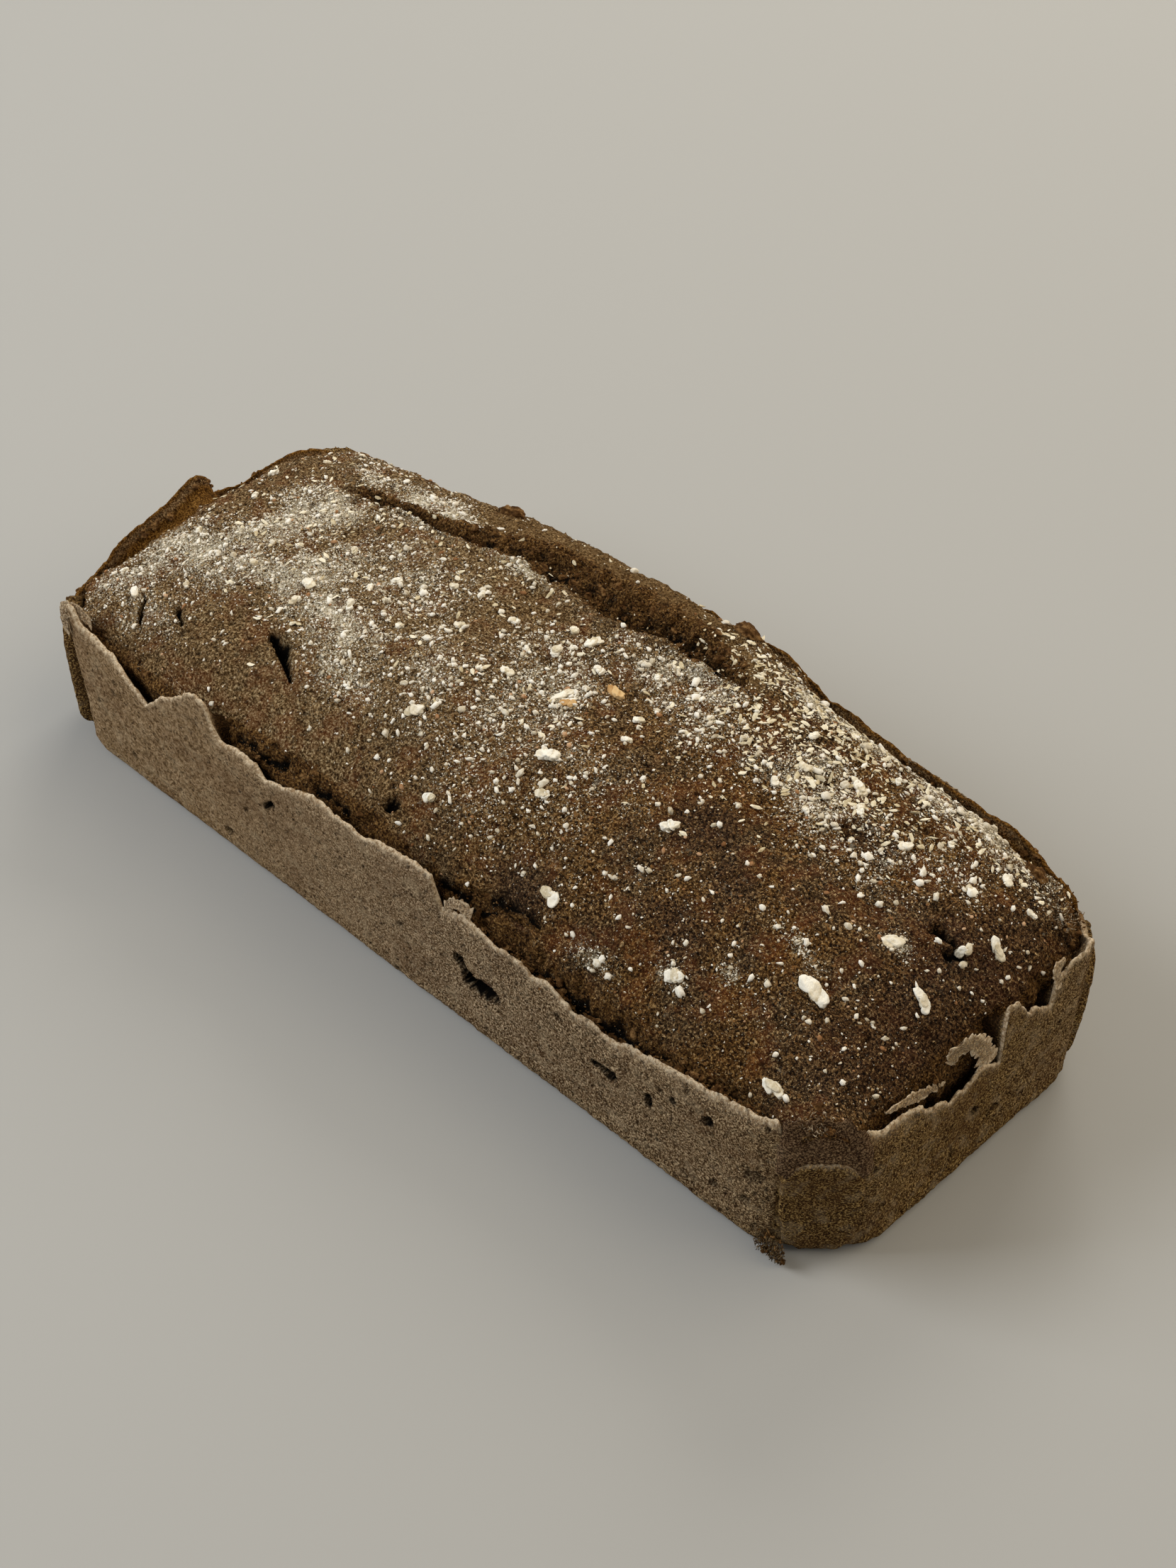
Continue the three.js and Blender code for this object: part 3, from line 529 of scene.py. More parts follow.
def fine_columns():
    """Fine places round the outline, counted in the part's own steps, closest where the photo looks."""
    long_side, end_side = 2 * (HALF_LENGTH - CORNER_CUT), 2 * (HALF_WIDTH - CORNER_CUT)
    corner = (CORNER_STEPS, CORNER_CUT * math.sqrt(2))
    sides = [(LONG_STEPS, long_side), corner, (END_STEPS, end_side), corner] * 2
    spacings = [NEAR_STEP] * 3 + [CORNER_STEP] + [FAR_STEP] * 3 + [CORNER_STEP]
    runs, start = [], 0
    for (steps, length), spacing in zip(sides, spacings):
        count = round(length / spacing)
        runs.append(start + steps * np.arange(count) / count)
        start += steps
    return np.concatenate(runs)


def rim_places():
    """Distance round the uncut rectangle of each of the part's outline points, and of the first one again."""
    places, start = [], CORNER_CUT
    for wall in range(4):
        half, steps = [(HALF_LENGTH, LONG_STEPS), (HALF_WIDTH, END_STEPS)][wall % 2]
        stop = start + 2 * (half - CORNER_CUT)
        places += [start + (stop - start) * k / steps for k in range(steps)]
        places += [stop + 2 * CORNER_CUT * k / CORNER_STEPS for k in range(CORNER_STEPS)]
        start = stop + 2 * CORNER_CUT
    return places + [start]


def even_rim(place):
    """Height of the rim before it is torn."""
    a, b = HALF_LENGTH, HALF_WIDTH
    stations = [(a + x, z) for x, z in FRONT_RIM] + [(2 * a + b + y, z) for y, z in RIGHT_RIM]
    stations += [(3 * a + 2 * b - x, z) for x, z in BACK_RIM] + [(4 * a + 3 * b - y, z) for y, z in LEFT_RIM]
    return between(stations, place % AROUND)


def rim_height(place):
    """Height of the torn rim."""
    height = even_rim(place)
    for k, (rise, length) in enumerate(RAGGED):
        height = height + rise * noise(place / length, 3 + 6 * k)
    around = between(RIM_TORN, place % AROUND)
    for k, (rise, length) in enumerate(FINE_RAGGED):
        height = height + rise * around * noise(place / length, 21 + 6 * k)
    height = height - NICK["depth"] * around * ease((noise(place / NICK["length"], 33) - 0.55) / 0.2)
    return height + TOOTH["height"] * (hashed(np.floor(place / TOOTH["length"]), 5) - 0.5)


def at(points, index):
    """Points of a closed outline at fractional steps along it."""
    low = np.floor(index).astype(int)
    share = (index - low)[:, None]
    return points[low % len(points)] * (1 - share) + points[(low + 1) % len(points)] * share


def wall_line(index):
    """Points of the walls' outline at fractional steps along it, and how they move one millimetre inwards."""
    base = at(outline(HALF_LENGTH, HALF_WIDTH, CORNER_CUT), index)
    return base, at(outline(HALF_LENGTH - 1, HALF_WIDTH - 1, CORNER_CUT), index) - base


def hole_depths(place, z):
    """Depth of the torn holes and pores of the two walls that show, the painted shade that darkens them, and
    the flap.
    """
    depth = hole_painted_shade = np.zeros(np.broadcast(place, z).shape)
    front = [(HALF_LENGTH, *h) for h in FRONT_HOLES]
    end = [(2 * HALF_LENGTH + HALF_WIDTH, *h) for h in END_HOLES]
    for middle, start, z0, stop, z1, radius, deep in front + end:
        x0, x1 = middle + start, middle + stop
        apart = near_line(place, z, x0, z0, x1, z1)
        apart = apart + HOLE_RAGGED * radius * noise(place * 0.8, z * 0.8 + x0)
        depth = np.maximum(depth, deep * ease((1.25 * radius - apart) / 0.5 + 0.5))
        painted_hollow_shade = between(HOLE_PAINTED_SHADE, deep) * ease((1.25 * radius + 0.3 - apart) / 0.35 + 0.5)
        hole_painted_shade = np.maximum(hole_painted_shade, painted_hollow_shade)
    x0, z0, x1, z1, radius = HOLE_FLAP
    apart = near_line(place, z, HALF_LENGTH + x0, z0, HALF_LENGTH + x1, z1)
    flap = ease((radius - apart) / 0.4 + 0.5) * (hole_painted_shade > 0.5)
    return depth * (1 - FLAP_RISE * flap), hole_painted_shade * (1 - flap), flap


def wall_rows(place, rim, deep):
    """Rows of the side crust, from under the foot over the rim into the crevice: how far in and how high each
    point lies, how much of the walls' relief it shows and how far inside it is."""
    even, ones = even_rim(place), np.ones_like(rim)
    rows = [(WALL_LEAN + FOOT_ROUND + inset, 0, 0, 0) for inset in UNDER_INSETS]
    for turn in np.linspace(0, math.pi / 2, FOOT_ROWS, endpoint=False):
        inset = WALL_LEAN + FOOT_ROUND * (1 - math.sin(turn))
        rows.append((inset, FOOT_ROUND * (1 - math.cos(turn)), math.sin(turn), 0))
    for share in np.linspace(0, 1, WALL_ROWS, endpoint=False):
        z = FOOT_ROUND + (even - RIM_ROUND - FOOT_ROUND) * share + (rim - even) * share ** 6
        rows.append((WALL_LEAN * (1 - z / rim), z, 1, 0))
    for turn in np.linspace(0, math.pi, RIM_ROWS):
        thin = EDGE_THICK * (0.5 - 0.5 * math.cos(turn))
        rows.append((thin, rim - RIM_ROUND * (1 - math.sin(turn)), 0.6 * math.cos(turn), 0))
    for share in np.linspace(0, 1, INNER_ROWS + 1)[1:]:
        inset = EDGE_THICK + (CRUST + CREVICE - EDGE_THICK) * share ** 0.8
        rows.append((inset, rim - RIM_ROUND - (deep - RIM_ROUND) * share ** 0.7, -0.7, min(1, share * 2.2)))
    inset, z, shown, inner = (np.stack([row[k] * ones for row in rows]) for k in range(4))
    curl = np.clip(0.5 + 0.9 * noise(place / CURL["length"], 71), 0, 1) * CURL["reach"]
    inset = inset + curl * np.clip(1 - (rim - z) / CURL["height"], 0, 1) ** 2 * (1 - inner)
    return inset, z, shown, inner


def wall_looks(place, rim, z, inner):
    """How near the rim, how brown and how near the far side each point of the side crust is."""
    full = np.ones_like(z)
    below = np.maximum(rim - z, 0)
    edge = sum(share * np.exp(-below / reach) for share, reach in RIM_TINT) * (1 - inner)
    near_corner = stretch(place, 2 * HALF_LENGTH - 15, 3, 2 * HALF_LENGTH + 14, 6)
    tone = np.maximum(between(WALL_TONE_AND_SHADE, place % AROUND), near_corner) * full
    more, height = FOOT_TONE
    tone = np.clip(tone + more * ease(1 - z / height), 0, 1)
    half = FAR_FADE / 2
    far = stretch(place, FAR_CORNER - half, FAR_FADE, AROUND + 4 + half, FAR_FADE) * full
    return {"edge": edge, "tone": tone, "far": far}


def side_crust(finish):
    """Walls, ragged rim, crevice and underside as one closed piece."""
    index = fine_columns()
    place = np.interp(index, np.arange(len(rim_places())), rim_places())
    rim = rim_height(place)
    deep = between(CREVICE_DEPTHS, place % AROUND)
    inset, z, shown, inner = wall_rows(place, rim, deep)
    base, inward = wall_line(index)
    cutting = at(outline(HALF_LENGTH, HALF_WIDTH, CORNER_CUT + 1), index) - base
    ahead = np.roll(base, -3, 0) - np.roll(base, 3, 0)
    outward = unit(np.stack([ahead[:, 1], -ahead[:, 0]], 1))

    extra = (FOOT_CORNER_CUT - CORNER_CUT) * np.clip(1 - z / rim, 0, 1) * (inner < 0.1)
    flat = base + inset[..., None] * inward + extra[..., None] * cutting
    hollow = 0.5 + 0.5 * noise(place / WAVE["length"], z / WAVE["height"])
    push = WAVE["depth"] * hollow * ease(z / WAVE["fade"]) / np.linalg.norm(flat, axis=2)
    flat = flat * (1 - push[..., None])

    depth, hole_painted_shade, flap = hole_depths(place, z)
    calm = between(WALL_CALM, place % AROUND) * np.ones_like(z)
    share = PORES["share"] - PORES["fewer"] * calm
    pore = pits(place, z, PORES["spacing"], PORES["radius"], share, 11.0)
    swell, swell_length = WALL_SWELL
    fine = WALL_GRAIN["height"] - WALL_GRAIN["calmer"] * calm
    fine = fine * rough(place, z, WALL_GRAIN["length"], 2, 5.0)
    relief = swell * rough(place, z, swell_length) + fine - PORES["depth"] * pore
    relief = relief * shown - depth * (shown > 0.9) * (inner < 0.1)
    lift = INNER_RELIEF * rough(place, 3 * inset, 2.2, 2, 8.0) * (inner > 0.5)
    points = np.concatenate([flat + relief[..., None] * outward, (z + lift)[..., None]], 2).reshape(-1, 3)

    count, columns = z.shape
    ring = np.arange(columns)
    low = np.stack([np.roll(ring, -1), ring, np.full(columns, len(points))], 1)
    last = (count - 1) * columns + ring
    high = np.stack([last, np.roll(last, -1), np.full(columns, len(points) + 1)], 1)
    middles = [[0, 0, 0], [0, 0, float(rim.mean() - deep.mean())]]
    looks = wall_looks(place, rim, z, inner)
    # Painted shade fills the holes and pores of the walls with a very deep brown
    fields = {
        "edge": looks["edge"], "hole_painted_shade": np.maximum(hole_painted_shade, (0.8 - 0.4 * calm) * pore), "flap": flap,
        "tone": looks["tone"], "inner": inner, "far": looks["far"], "calm": calm,
    }
    fields = {key: np.append(values.ravel(), [0, 1]) for key, values in fields.items()}
    faces = [grid_faces(count, columns, True), low, high]
    make_piece("side_crust", np.append(points, middles, 0), faces, finish, fields)


# Top crust


def top_half_width(x, side):
    cut = np.where((side < 0) & (x > 0), TOP_NEAR_CORNER_CUT, TOP_CORNER_CUT)
    swell = stretch(x, BACK_SWELL["from"], BACK_SWELL["rise"], BACK_SWELL["to"], BACK_SWELL["fall"])
    swell = np.where(side > 0, BACK_SWELL["reach"] * swell, 0)
    return TOP_HALF_WIDTH + swell - np.maximum(0, np.abs(x) - (TOP_HALF_LENGTH - cut))


def top_height(x, y):
    """Height of the top before its cracks are torn, the same as the part's."""
    side = np.where(y < 0, -1, 1)
    v = np.clip(np.abs(y) / top_half_width(x, side), 0, 1)
    u = np.clip(np.abs(x) / TOP_HALF_LENGTH, 0, 1)
    front = (1 - v ** FRONT_POWERS[0]) ** FRONT_POWERS[1]
    back = (1 - v ** BACK_POWERS[0]) ** BACK_POWERS[1]
    across = np.where(side < 0, front, back)
    along = (1 - u ** END_POWERS[0]) ** END_POWERS[1]
    blend = ease((side * v + 1) / 2)
    from_corner = np.hypot(x - NEAR_CORNER["x"], y - NEAR_CORNER["y"]) / NEAR_CORNER["reach"]
    corner = NEAR_CORNER["rise"] * np.exp(-(from_corner ** 2))
    edge = between(FRONT_EDGE, x) * (1 - blend) + between(BACK_EDGE, x) * blend + corner
    lumps = sum(height * noise(x / length + start, y / length) for height, length, start in LUMPS)
    kept = LUMPS_AT_EDGE + (1 - LUMPS_AT_EDGE) * across
    return edge + (between(CREST, x) - edge) * across * along + lumps * kept


def groove(stations, x, y):
    """Depth of a torn groove, steep on its front side, and the place across it in half widths."""
    middle, width, depth = (between(stations, x, k) for k in (1, 2, 3))
    ahead = between(stations, x + 2) - between(stations, x - 2)
    across = (y - middle) / np.hypot(1, ahead / 4) / (width / 2)
    across = across + 0.22 * noise(x / 2.1, y / 2.1 + 5) + 0.12 * noise(x / 0.9, y / 0.9)
    near, far = GROOVE_FLOOR
    shape = np.minimum(ease((across + 1) / (near + 1)), np.clip((1 - across) / (1 - far), 0, 1))
    return depth * shape * stretch(x, stations[0][0] - 1, 2, stations[-1][0] + 1, 2), across


def from_spot(x, y, spot):
    """Distance from the middle of a spot, 1 at its edge."""
    return np.hypot((x - spot[0]) / spot[2], (y - spot[1]) / spot[3])


def flour_density(x, y):
    clear = np.ones(np.broadcast(x, y).shape)
    for middle_x, middle_y, half_x, half_y, turn, strength in FLOUR:
        c, s = math.cos(math.radians(turn)), math.sin(math.radians(turn))
        dx, dy = x - middle_x, y - middle_y
        apart = ((dx * c + dy * s) / half_x) ** 2 + ((dy * c - dx * s) / half_y) ** 2
        clear = clear * (1 - strength * np.exp(-apart ** 1.3))
    return (1 - clear) * (0.72 + 0.45 * rough(x, y, 7, 2, 31.0))


def edge_tears(x, y, half_width):
    """Depth of the cracks and gaps torn along the front edge and the right end of the top."""
    tears = [groove(stations, x, y)[0] for stations in (FRONT_CRACK, EDGE_CRACK)]
    for most, brink, start in [
        ((y < 0) * between(FRONT_GAP, x), half_width - np.abs(y), 17.0),
        (between(END_GAP, y), TOP_HALF_LENGTH - x, 19.0),
    ]:
        brink = brink + GAP_RAGGED * rough(x, y, 4.2, 3, start)
        tears.append(most * ease(1.5 - 1.5 * brink / GAP_WIDTH))
    return np.maximum.reduce(tears)


def crack_depths(x, y):
    """Depth of the slits, dents and hairline cracks of the top, and the painted shade that darkens the
    hairlines.
    """
    cracks = [groove(stations, x, y)[0] for stations in (SLIT, LEFT_SLIT)]
    ragged = 0.35 * rough(x, y, 2.4, 2, 51.0)
    cracks += [dent[4] * ease((1.15 - from_spot(x, y, dent) - ragged) / 0.6) for dent in DENTS]
    painted_hollow_shade = np.zeros(x.shape)
    for wide, deep, line in HAIRLINES:
        runs = [near_line(x, y, *a, *b) for a, b in zip(line, line[1:])]
        apart = np.minimum.reduce(runs) + 0.35 * wide * noise(x * 1.1, y * 1.1)
        cracks.append(deep * ease((wide - apart) / 0.5 + 0.5))
        painted_hollow_shade = np.maximum(painted_hollow_shade, HAIRLINE_PAINTED_SHADE * ease((wide - apart) / 0.35 + 0.5))
    return np.maximum.reduce(cracks), painted_hollow_shade


def top_relief(x, y, torn, slope):
    """Fine relief of the top along its own normal, and the pits in it."""
    pit = np.maximum(pits(x, y, 3.1, 0.85, 0.45, 3.0), 0.8 * pits(x, y, 1.7, 0.5, 0.5, 7.0))
    whole = sum(height * rough(x, y, length, octaves, start) for height, length, octaves, start in TOP_RELIEF)
    wide, fine = TORN_RELIEF["wide"], TORN_RELIEF["fine"]
    ripped = wide * rough(0.7 * x, 1.3 * y, TORN_RELIEF["length"], 3, 13.0)
    ripped = ripped + fine * rough(x, y, TORN_RELIEF["fine_length"], 2, 4.0) - 0.5 * pit
    ridges = RIDGES["height"] * rough(0.22 * x, y, RIDGES["length"], 3, 33.0) * slope
    return (whole - 0.55 * pit) * (1 - torn) + ripped * torn + ridges, pit


def gathered(count, amount):
    """Places from -1 to 1 that lie closer together towards both."""
    t = np.linspace(-1, 1, count)
    return t + (np.sin(t * math.pi / 2) - t) * amount


def skirt(points):
    """Points of the sides below the border of the top, and the faces that close it."""
    border = border_of(TOP_ROWS, TOP_COLUMNS)
    edge = points[border]
    ahead = np.roll(edge, -2, 0) - np.roll(edge, 2, 0)
    outward = unit(np.stack([ahead[:, 1], -ahead[:, 0], 0 * ahead[:, 0]], 1), TINY)
    run = np.cumsum(np.linalg.norm(np.diff(edge, axis=0, prepend=edge[-1:]), axis=1))
    rows = []
    for k in range(1, SKIRT_ROWS + 1):
        share = (k / SKIRT_ROWS) ** 1.3
        level = edge[:, 2] * (1 - share) + TOP_ROOT * share
        relief = np.minimum(0.5 * rough(run, level, 3.4, 2, 3.0) * (1 - share), 0)
        row = edge + outward * (relief - SKIRT_TAPER * share)[:, None]
        row[:, 2] = level
        rows.append(row)
    count = len(border)
    numbers = len(points) + np.arange(count * SKIRT_ROWS).reshape(SKIRT_ROWS, count)
    numbers = np.vstack([border, numbers])
    nexts = np.roll(numbers, -1, 1)
    sides = np.stack([numbers[:-1], numbers[1:], nexts[1:], nexts[:-1]], -1).reshape(-1, 4)
    hub = np.full(count, len(points) + count * SKIRT_ROWS)
    low = np.stack([numbers[-1], hub, nexts[-1]], 1)
    return np.concatenate([*rows, [[0, 0, TOP_ROOT]]]), [sides, low]


def top_crust(finish):
    """Dome, torn split, cracks and sides as one closed piece. Returns its grid for the toppings to lie on."""
    x = np.broadcast_to(TOP_HALF_LENGTH * gathered(TOP_COLUMNS, 0.15), (TOP_ROWS, TOP_COLUMNS))
    v = gathered(TOP_ROWS, 0.35)
    half_width = top_half_width(x, np.where(v < 0, -1, 1)[:, None])
    y = v[:, None] * half_width

    split, across = groove(SPLIT, x, y)
    inside = stretch(across, -1.15, 0.3, 1.7, 0.6) * stretch(x, -94, 4, 38, 8)
    slope = ease((across - 1) / 0.6) * stretch(x, -64, 8, 38, 8)
    slope = slope * (1 - 0.85 * ease((y - 43.5) / 3) * ease((x - 12) / 10))
    lip = np.exp(-((across + 1.35) / 0.3) ** 2) * stretch(x, -95, 8, 36, 8)
    tear = edge_tears(x, y, half_width)
    crack, painted_hollow_shade = crack_depths(x, y)
    shelf = 0.03 + 0.05 * stretch(x, -66, 6, -4, 6) + 0.04 * stretch(x, 12, 4, 40, 8)
    front_edge = ease((-v[:, None] - 1 + shelf + 0.012 * rough(x, 0 * x, 4, 2)) / 0.02) * ease((118 - x) / 8)
    back_edge = ease((y / half_width - 0.97) / 0.02)
    left_end = ease((-x - 0.985 * TOP_HALF_LENGTH) / 1.5)
    torn = np.maximum.reduce([inside, front_edge, back_edge, left_end, 0.35 * slope, ease(tear / 0.9)])

    relief, pit = top_relief(x, y, torn, slope)
    depth = np.maximum.reduce([split, tear, crack])
    points = np.stack([x, y, top_height(x, y) - depth + LIP_RISE * lip], 2)
    normal = unit(np.cross(np.gradient(points, axis=1), np.gradient(points, axis=0)), TINY)
    points = points + normal * relief[..., None]
    points[..., 1] = np.minimum(points[..., 1], HALF_WIDTH - BACK_CLEAR)

    flour = flour_density(x, y) * (1 - 0.95 * ease(depth / 1.2)) * (1 - 0.8 * torn)
    flour = np.clip(flour + 0.2 * lip * (x > -70), 0, 1)
    # Painted shade: darker in the depth of the split, in the hairlines, along the gap at the front edge and
    # in deep cracks and tears
    shade = np.clip(ease(split / 4) * (0.6 + 0.6 * rough(x, y, 3, 2, 61.0)) * ease(1.2 - across), 0, 1)
    brink = half_width - np.abs(y) + 0.5 * rough(x, y, 2.6, 2, 27.0)
    gap_painted_shade = (y < 0) * stretch(x, 30, 6, 118, 4) * ease((1.1 - brink) / 0.5)
    painted_crevice_shade = [shade, painted_hollow_shade, gap_painted_shade, ease((crack - 0.9) / 0.7), 0.35 * ease((tear - 1.7) / 1.1)]
    # Stains, the largest of them painted shade over the right end
    ragged = 0.4 * rough(x, y, 9, 3, 43.0)
    stain = np.maximum.reduce([ease(1.3 - from_spot(x, y, spot) - ragged) for spot in STAINS_AND_PAINTED_SHADE])

    under, closing = skirt(points.reshape(-1, 3))
    # The sides under the top's border take torn colour and some painted shade, as they lie in the crevice
    looks = {
        "flour": (flour, 0), "torn": (torn, 0.8), "painted_crevice_shade": (np.maximum.reduce(painted_crevice_shade), 0.35), "pit": (pit, 0),
        "stain": (stain, 0), "slope": (slope, 0), "dust_and_painted_light": (between(DUST_AND_PAINTED_LIGHT, x), 0),
    }
    fields = {key: np.append(values, np.full(len(under), below)) for key, (values, below) in looks.items()}
    all_points = np.concatenate([points.reshape(-1, 3), under])
    faces = [grid_faces(TOP_ROWS, TOP_COLUMNS, False), *closing]
    make_piece("top_crust", all_points, faces, finish, fields)
    clear = (1 - ease(depth)) * (1 - 0.9 * torn)
    crumbly = np.maximum(torn - 0.8 * slope, 0.6 * ease((tear + split) / 1.5))
    return {
        "v": v, "x": x[0], "points": points, "normal": normal, "clear": clear[..., None],
        "torn": crumbly[..., None],
    }


def on_top(top, x, y, *keys):
    """Values of the finished top at places in plan."""
    x, y = np.asarray(x, float), np.asarray(y, float)
    v = y / top_half_width(x, np.where(y < 0, -1, 1))
    column = np.clip(np.interp(x, top["x"], np.arange(TOP_COLUMNS)), 0, TOP_COLUMNS - 1.001)
    row = np.clip(np.interp(v, top["v"], np.arange(TOP_ROWS)), 0, TOP_ROWS - 1.001)
    i, j = row.astype(int), column.astype(int)
    a, b = (row - i)[:, None], (column - j)[:, None]

    def mixed(values):
        low = values[i, j] * (1 - b) + values[i, j + 1] * b
        return low * (1 - a) + (values[i + 1, j] * (1 - b) + values[i + 1, j + 1] * b) * a

    return [mixed(top[key]) for key in keys]


# Corner patches and loose skins


def spline(points, count):
    """Points spread along a smooth curve through given ones, along the first axis."""
    points = np.asarray(points, float)
    ends = np.concatenate([2 * points[:1] - points[1:2], points, 2 * points[-1:] - points[-2:-1]])
    t = np.linspace(0, len(points) - 1, count)
    k = np.minimum(t.astype(int), len(points) - 2)
    f = (t - k).reshape((-1,) + (1,) * (points.ndim - 1))
    a, b, c, d = (ends[k + n] for n in range(4))
    return 0.5 * (2 * b + (c - a) * f + (2 * a - 5 * b + 4 * c - d) * f ** 2 + (3 * (b - c) + d - a) * f ** 3)


def shell(outer, inner):
    """Closed body between two equal grids of points, its faces turned outwards."""
    rows, columns = outer.shape[:2]
    border = border_of(rows, columns)
    other = border + rows * columns
    sides = np.stack([np.roll(border, -1), border, other, np.roll(other, -1)], 1)
    front = grid_faces(rows, columns, False)
    faces = np.concatenate([front, front[:, ::-1] + rows * columns, sides])
    points = np.concatenate([outer.reshape(-1, 3), inner.reshape(-1, 3)])
    a, b, c, d = (points[faces[:, k]] for k in range(4))
    volume = (a * np.cross(b, c)).sum() + (a * np.cross(c, d)).sum()
    return points, faces if volume > 0 else faces[:, ::-1]


def merged(bodies):
    """Points and faces of several bodies as one."""
    starts = np.cumsum([0] + [len(points) for points, _ in bodies])
    return np.concatenate([b[0] for b in bodies]), [b[1] + start for b, start in zip(bodies, starts)]


def border_share(rows, columns, spacing):
    """Nearness to the border of a grid, 1 on it and 0 from that share of the grid inwards."""
    i, j = np.meshgrid(np.linspace(-1, 1, rows), np.linspace(-1, 1, columns), indexing="ij")
    return np.maximum(1 - (1 - np.abs(i)) / spacing, 1 - (1 - np.abs(j)) / spacing).clip(0, 1)


def corner_patches(finish):
    """The part's four patches of crust on the cut corners, with rounded, ragged edges."""
    foot = (HALF_LENGTH + HALF_WIDTH - FOOT_CORNER_CUT - 2 * WALL_LEAN) / math.sqrt(2)
    rim = (HALF_LENGTH + HALF_WIDTH - CORNER_CUT) / math.sqrt(2)
    middle = (HALF_LENGTH - HALF_WIDTH) / math.sqrt(2)
    up, side = np.meshgrid(np.linspace(0, 1, PATCH_ROWS), np.linspace(-1, 1, PATCH_COLUMNS), indexing="ij")
    near = border_share(PATCH_ROWS, PATCH_COLUMNS, 0.16)
    bodies = []
    for side_x, side_y, lift, height in PATCHES:
        start = 7 * side_x + 3 * side_y
        z = PATCH_FOOT + up * (height - PATCH_FOOT) + 0.5 * rough(side * 9, start, 2.2, 2) * up
        wide = between(PATCH_SIDE, up) * PATCH_HALF_WIDTH
        wide = wide + 0.4 * rough(up * height, start + np.sign(side), 2.6, 3) * np.abs(side)
        stand = PATCH_THICK + lift * (1 - 0.8 * up) * ease(z / 8)
        relief = 0.25 * rough(side * 9 + start, z, 7) + 0.14 * rough(side * 9, z + start, 1.5, 2)
        across = middle + side * wide
        grids = []
        for reach in (stand + relief - 0.55 * near ** 3, -PATCH_ROOT):
            out = foot + (rim - foot) * up + reach
            grid = np.stack([side_x * (out + across), side_y * (out - across), z * math.sqrt(2)], 2)
            grids.append(grid / math.sqrt(2))
        bodies.append(shell(*grids))
    points, faces = merged(bodies)
    top_edge = ease((up - 0.8) / 0.2)
    edges = [np.tile(((0.1 + 0.4 * top_edge * (k == 0)) * near ** 2).ravel(), 2) for k in range(len(PATCHES))]
    fields = {"edge": np.concatenate(edges), "tone": np.ones(len(points))}
    make_piece("corner_patches", points, faces, finish, fields)


def loose_skins(finish, rng):
    """Thin curled skins of crust that hang over the rim, and short fibres."""
    near = border_share(SKIN_ROWS, SKIN_COLUMNS, 0.3)
    row = np.arange(SKIN_ROWS)[:, None]
    bodies, looks = [], []
    for k, (pale, tone, stain, torn, rows) in enumerate(SKINS):
        grid = spline(spline(rows, SKIN_ROWS).swapaxes(0, 1), SKIN_COLUMNS).swapaxes(0, 1)
        pull, along_rows = np.gradient(grid, axis=0), np.gradient(grid, axis=1)
        normal = unit(np.cross(pull, along_rows), TINY)
        along, z = grid[..., 0] + grid[..., 1] + 3 * k, grid[..., 2]
        ragged = rough(along, z, 3.2, 3) + 1.2 * rough(along, z, 0.9, 2, 5.0)
        sides = np.sign(row - SKIN_ROWS / 2 + 0.5) * near ** 2
        grid = grid + 0.45 * torn * (sides * ragged)[..., None] * unit(pull, TINY)
        grid = grid + (0.3 * rough(along, z, 2.4, 3, 9.0))[..., None] * normal
        half = normal * (SKIN_THICK / 2 * (1 - 0.5 * near))[..., None]
        bodies.append(shell(grid + half, grid - half))
        looks += [(pale * (0.4 + 0.6 * edge), tone, stain) for edge in np.tile(near.ravel(), 2)]
    body, sides = grain_body()
    for middle, spread, direction, count, pale in FIBRES:
        places = middle + rng.uniform(-1, 1, (count, 3)) * spread
        ways = unit(np.array(direction) + rng.normal(0, 0.5, (count, 3)))
        sizes = np.full((count, 3), FIBRE_THICK)
        sizes[:, 2] = rng.uniform(*FIBRE_LENGTHS, count)
        copies = np.repeat(body[None], count, 0)
        placed = laid(copies, places, ways, sizes, rng.uniform(0, FULL_TURN, count))
        bodies.append(joined(placed, sides))
        looks += [(pale, 0.9, 0)] * (count * len(body))
    points, faces = merged(bodies)
    fields = dict(zip(["edge", "tone", "flap"], np.array(looks).T))
    make_piece("loose_skins", points, faces, finish, fields)


# Toppings


def part_draws(seed):
    """The part's own run of random numbers."""
    while True:
        seed = (seed * 16807) % 2147483647
        yield seed / 2147483647


def small_flakes():
    """The part's small flakes: x, y, two half sizes and turn."""
    draws = part_draws(PART_SEED)
    taken = [(f[0], f[1]) for f in LARGE_FLAKES]
    flakes = []
    while len(flakes) < SMALL_FLAKES:
        middle_x, middle_y, reach_x, reach_y = FLOURED[math.floor(next(draws) * len(FLOURED))]
        angle = next(draws) * 2 * math.pi
        reach = math.sqrt(next(draws))
        x, y = middle_x + reach_x * reach * math.cos(angle), middle_y + reach_y * reach * math.sin(angle)
        size = SMALL_SIZES[0] + (SMALL_SIZES[1] - SMALL_SIZES[0]) * next(draws) ** 2
        width = size * (SMALL_WIDTHS[0] + (SMALL_WIDTHS[1] - SMALL_WIDTHS[0]) * next(draws))
        turn = next(draws) * math.pi
        inside = abs(x) < TOP_HALF_LENGTH - EDGE_CLEAR
        inside = inside and abs(y) < top_half_width(x, math.copysign(1, y)) - EDGE_CLEAR
        clear = all(math.hypot(x - ox, y - oy) > FLAKE_CLEAR for ox, oy in taken)
        in_split = any(from_spot(x, y, (*station[:2], *SPLIT_CLEAR)) < 1 for station in SPLIT)
        if inside and clear and not in_split:
            taken.append((x, y))
            flakes.append((x, y, size, width, turn))
    return flakes


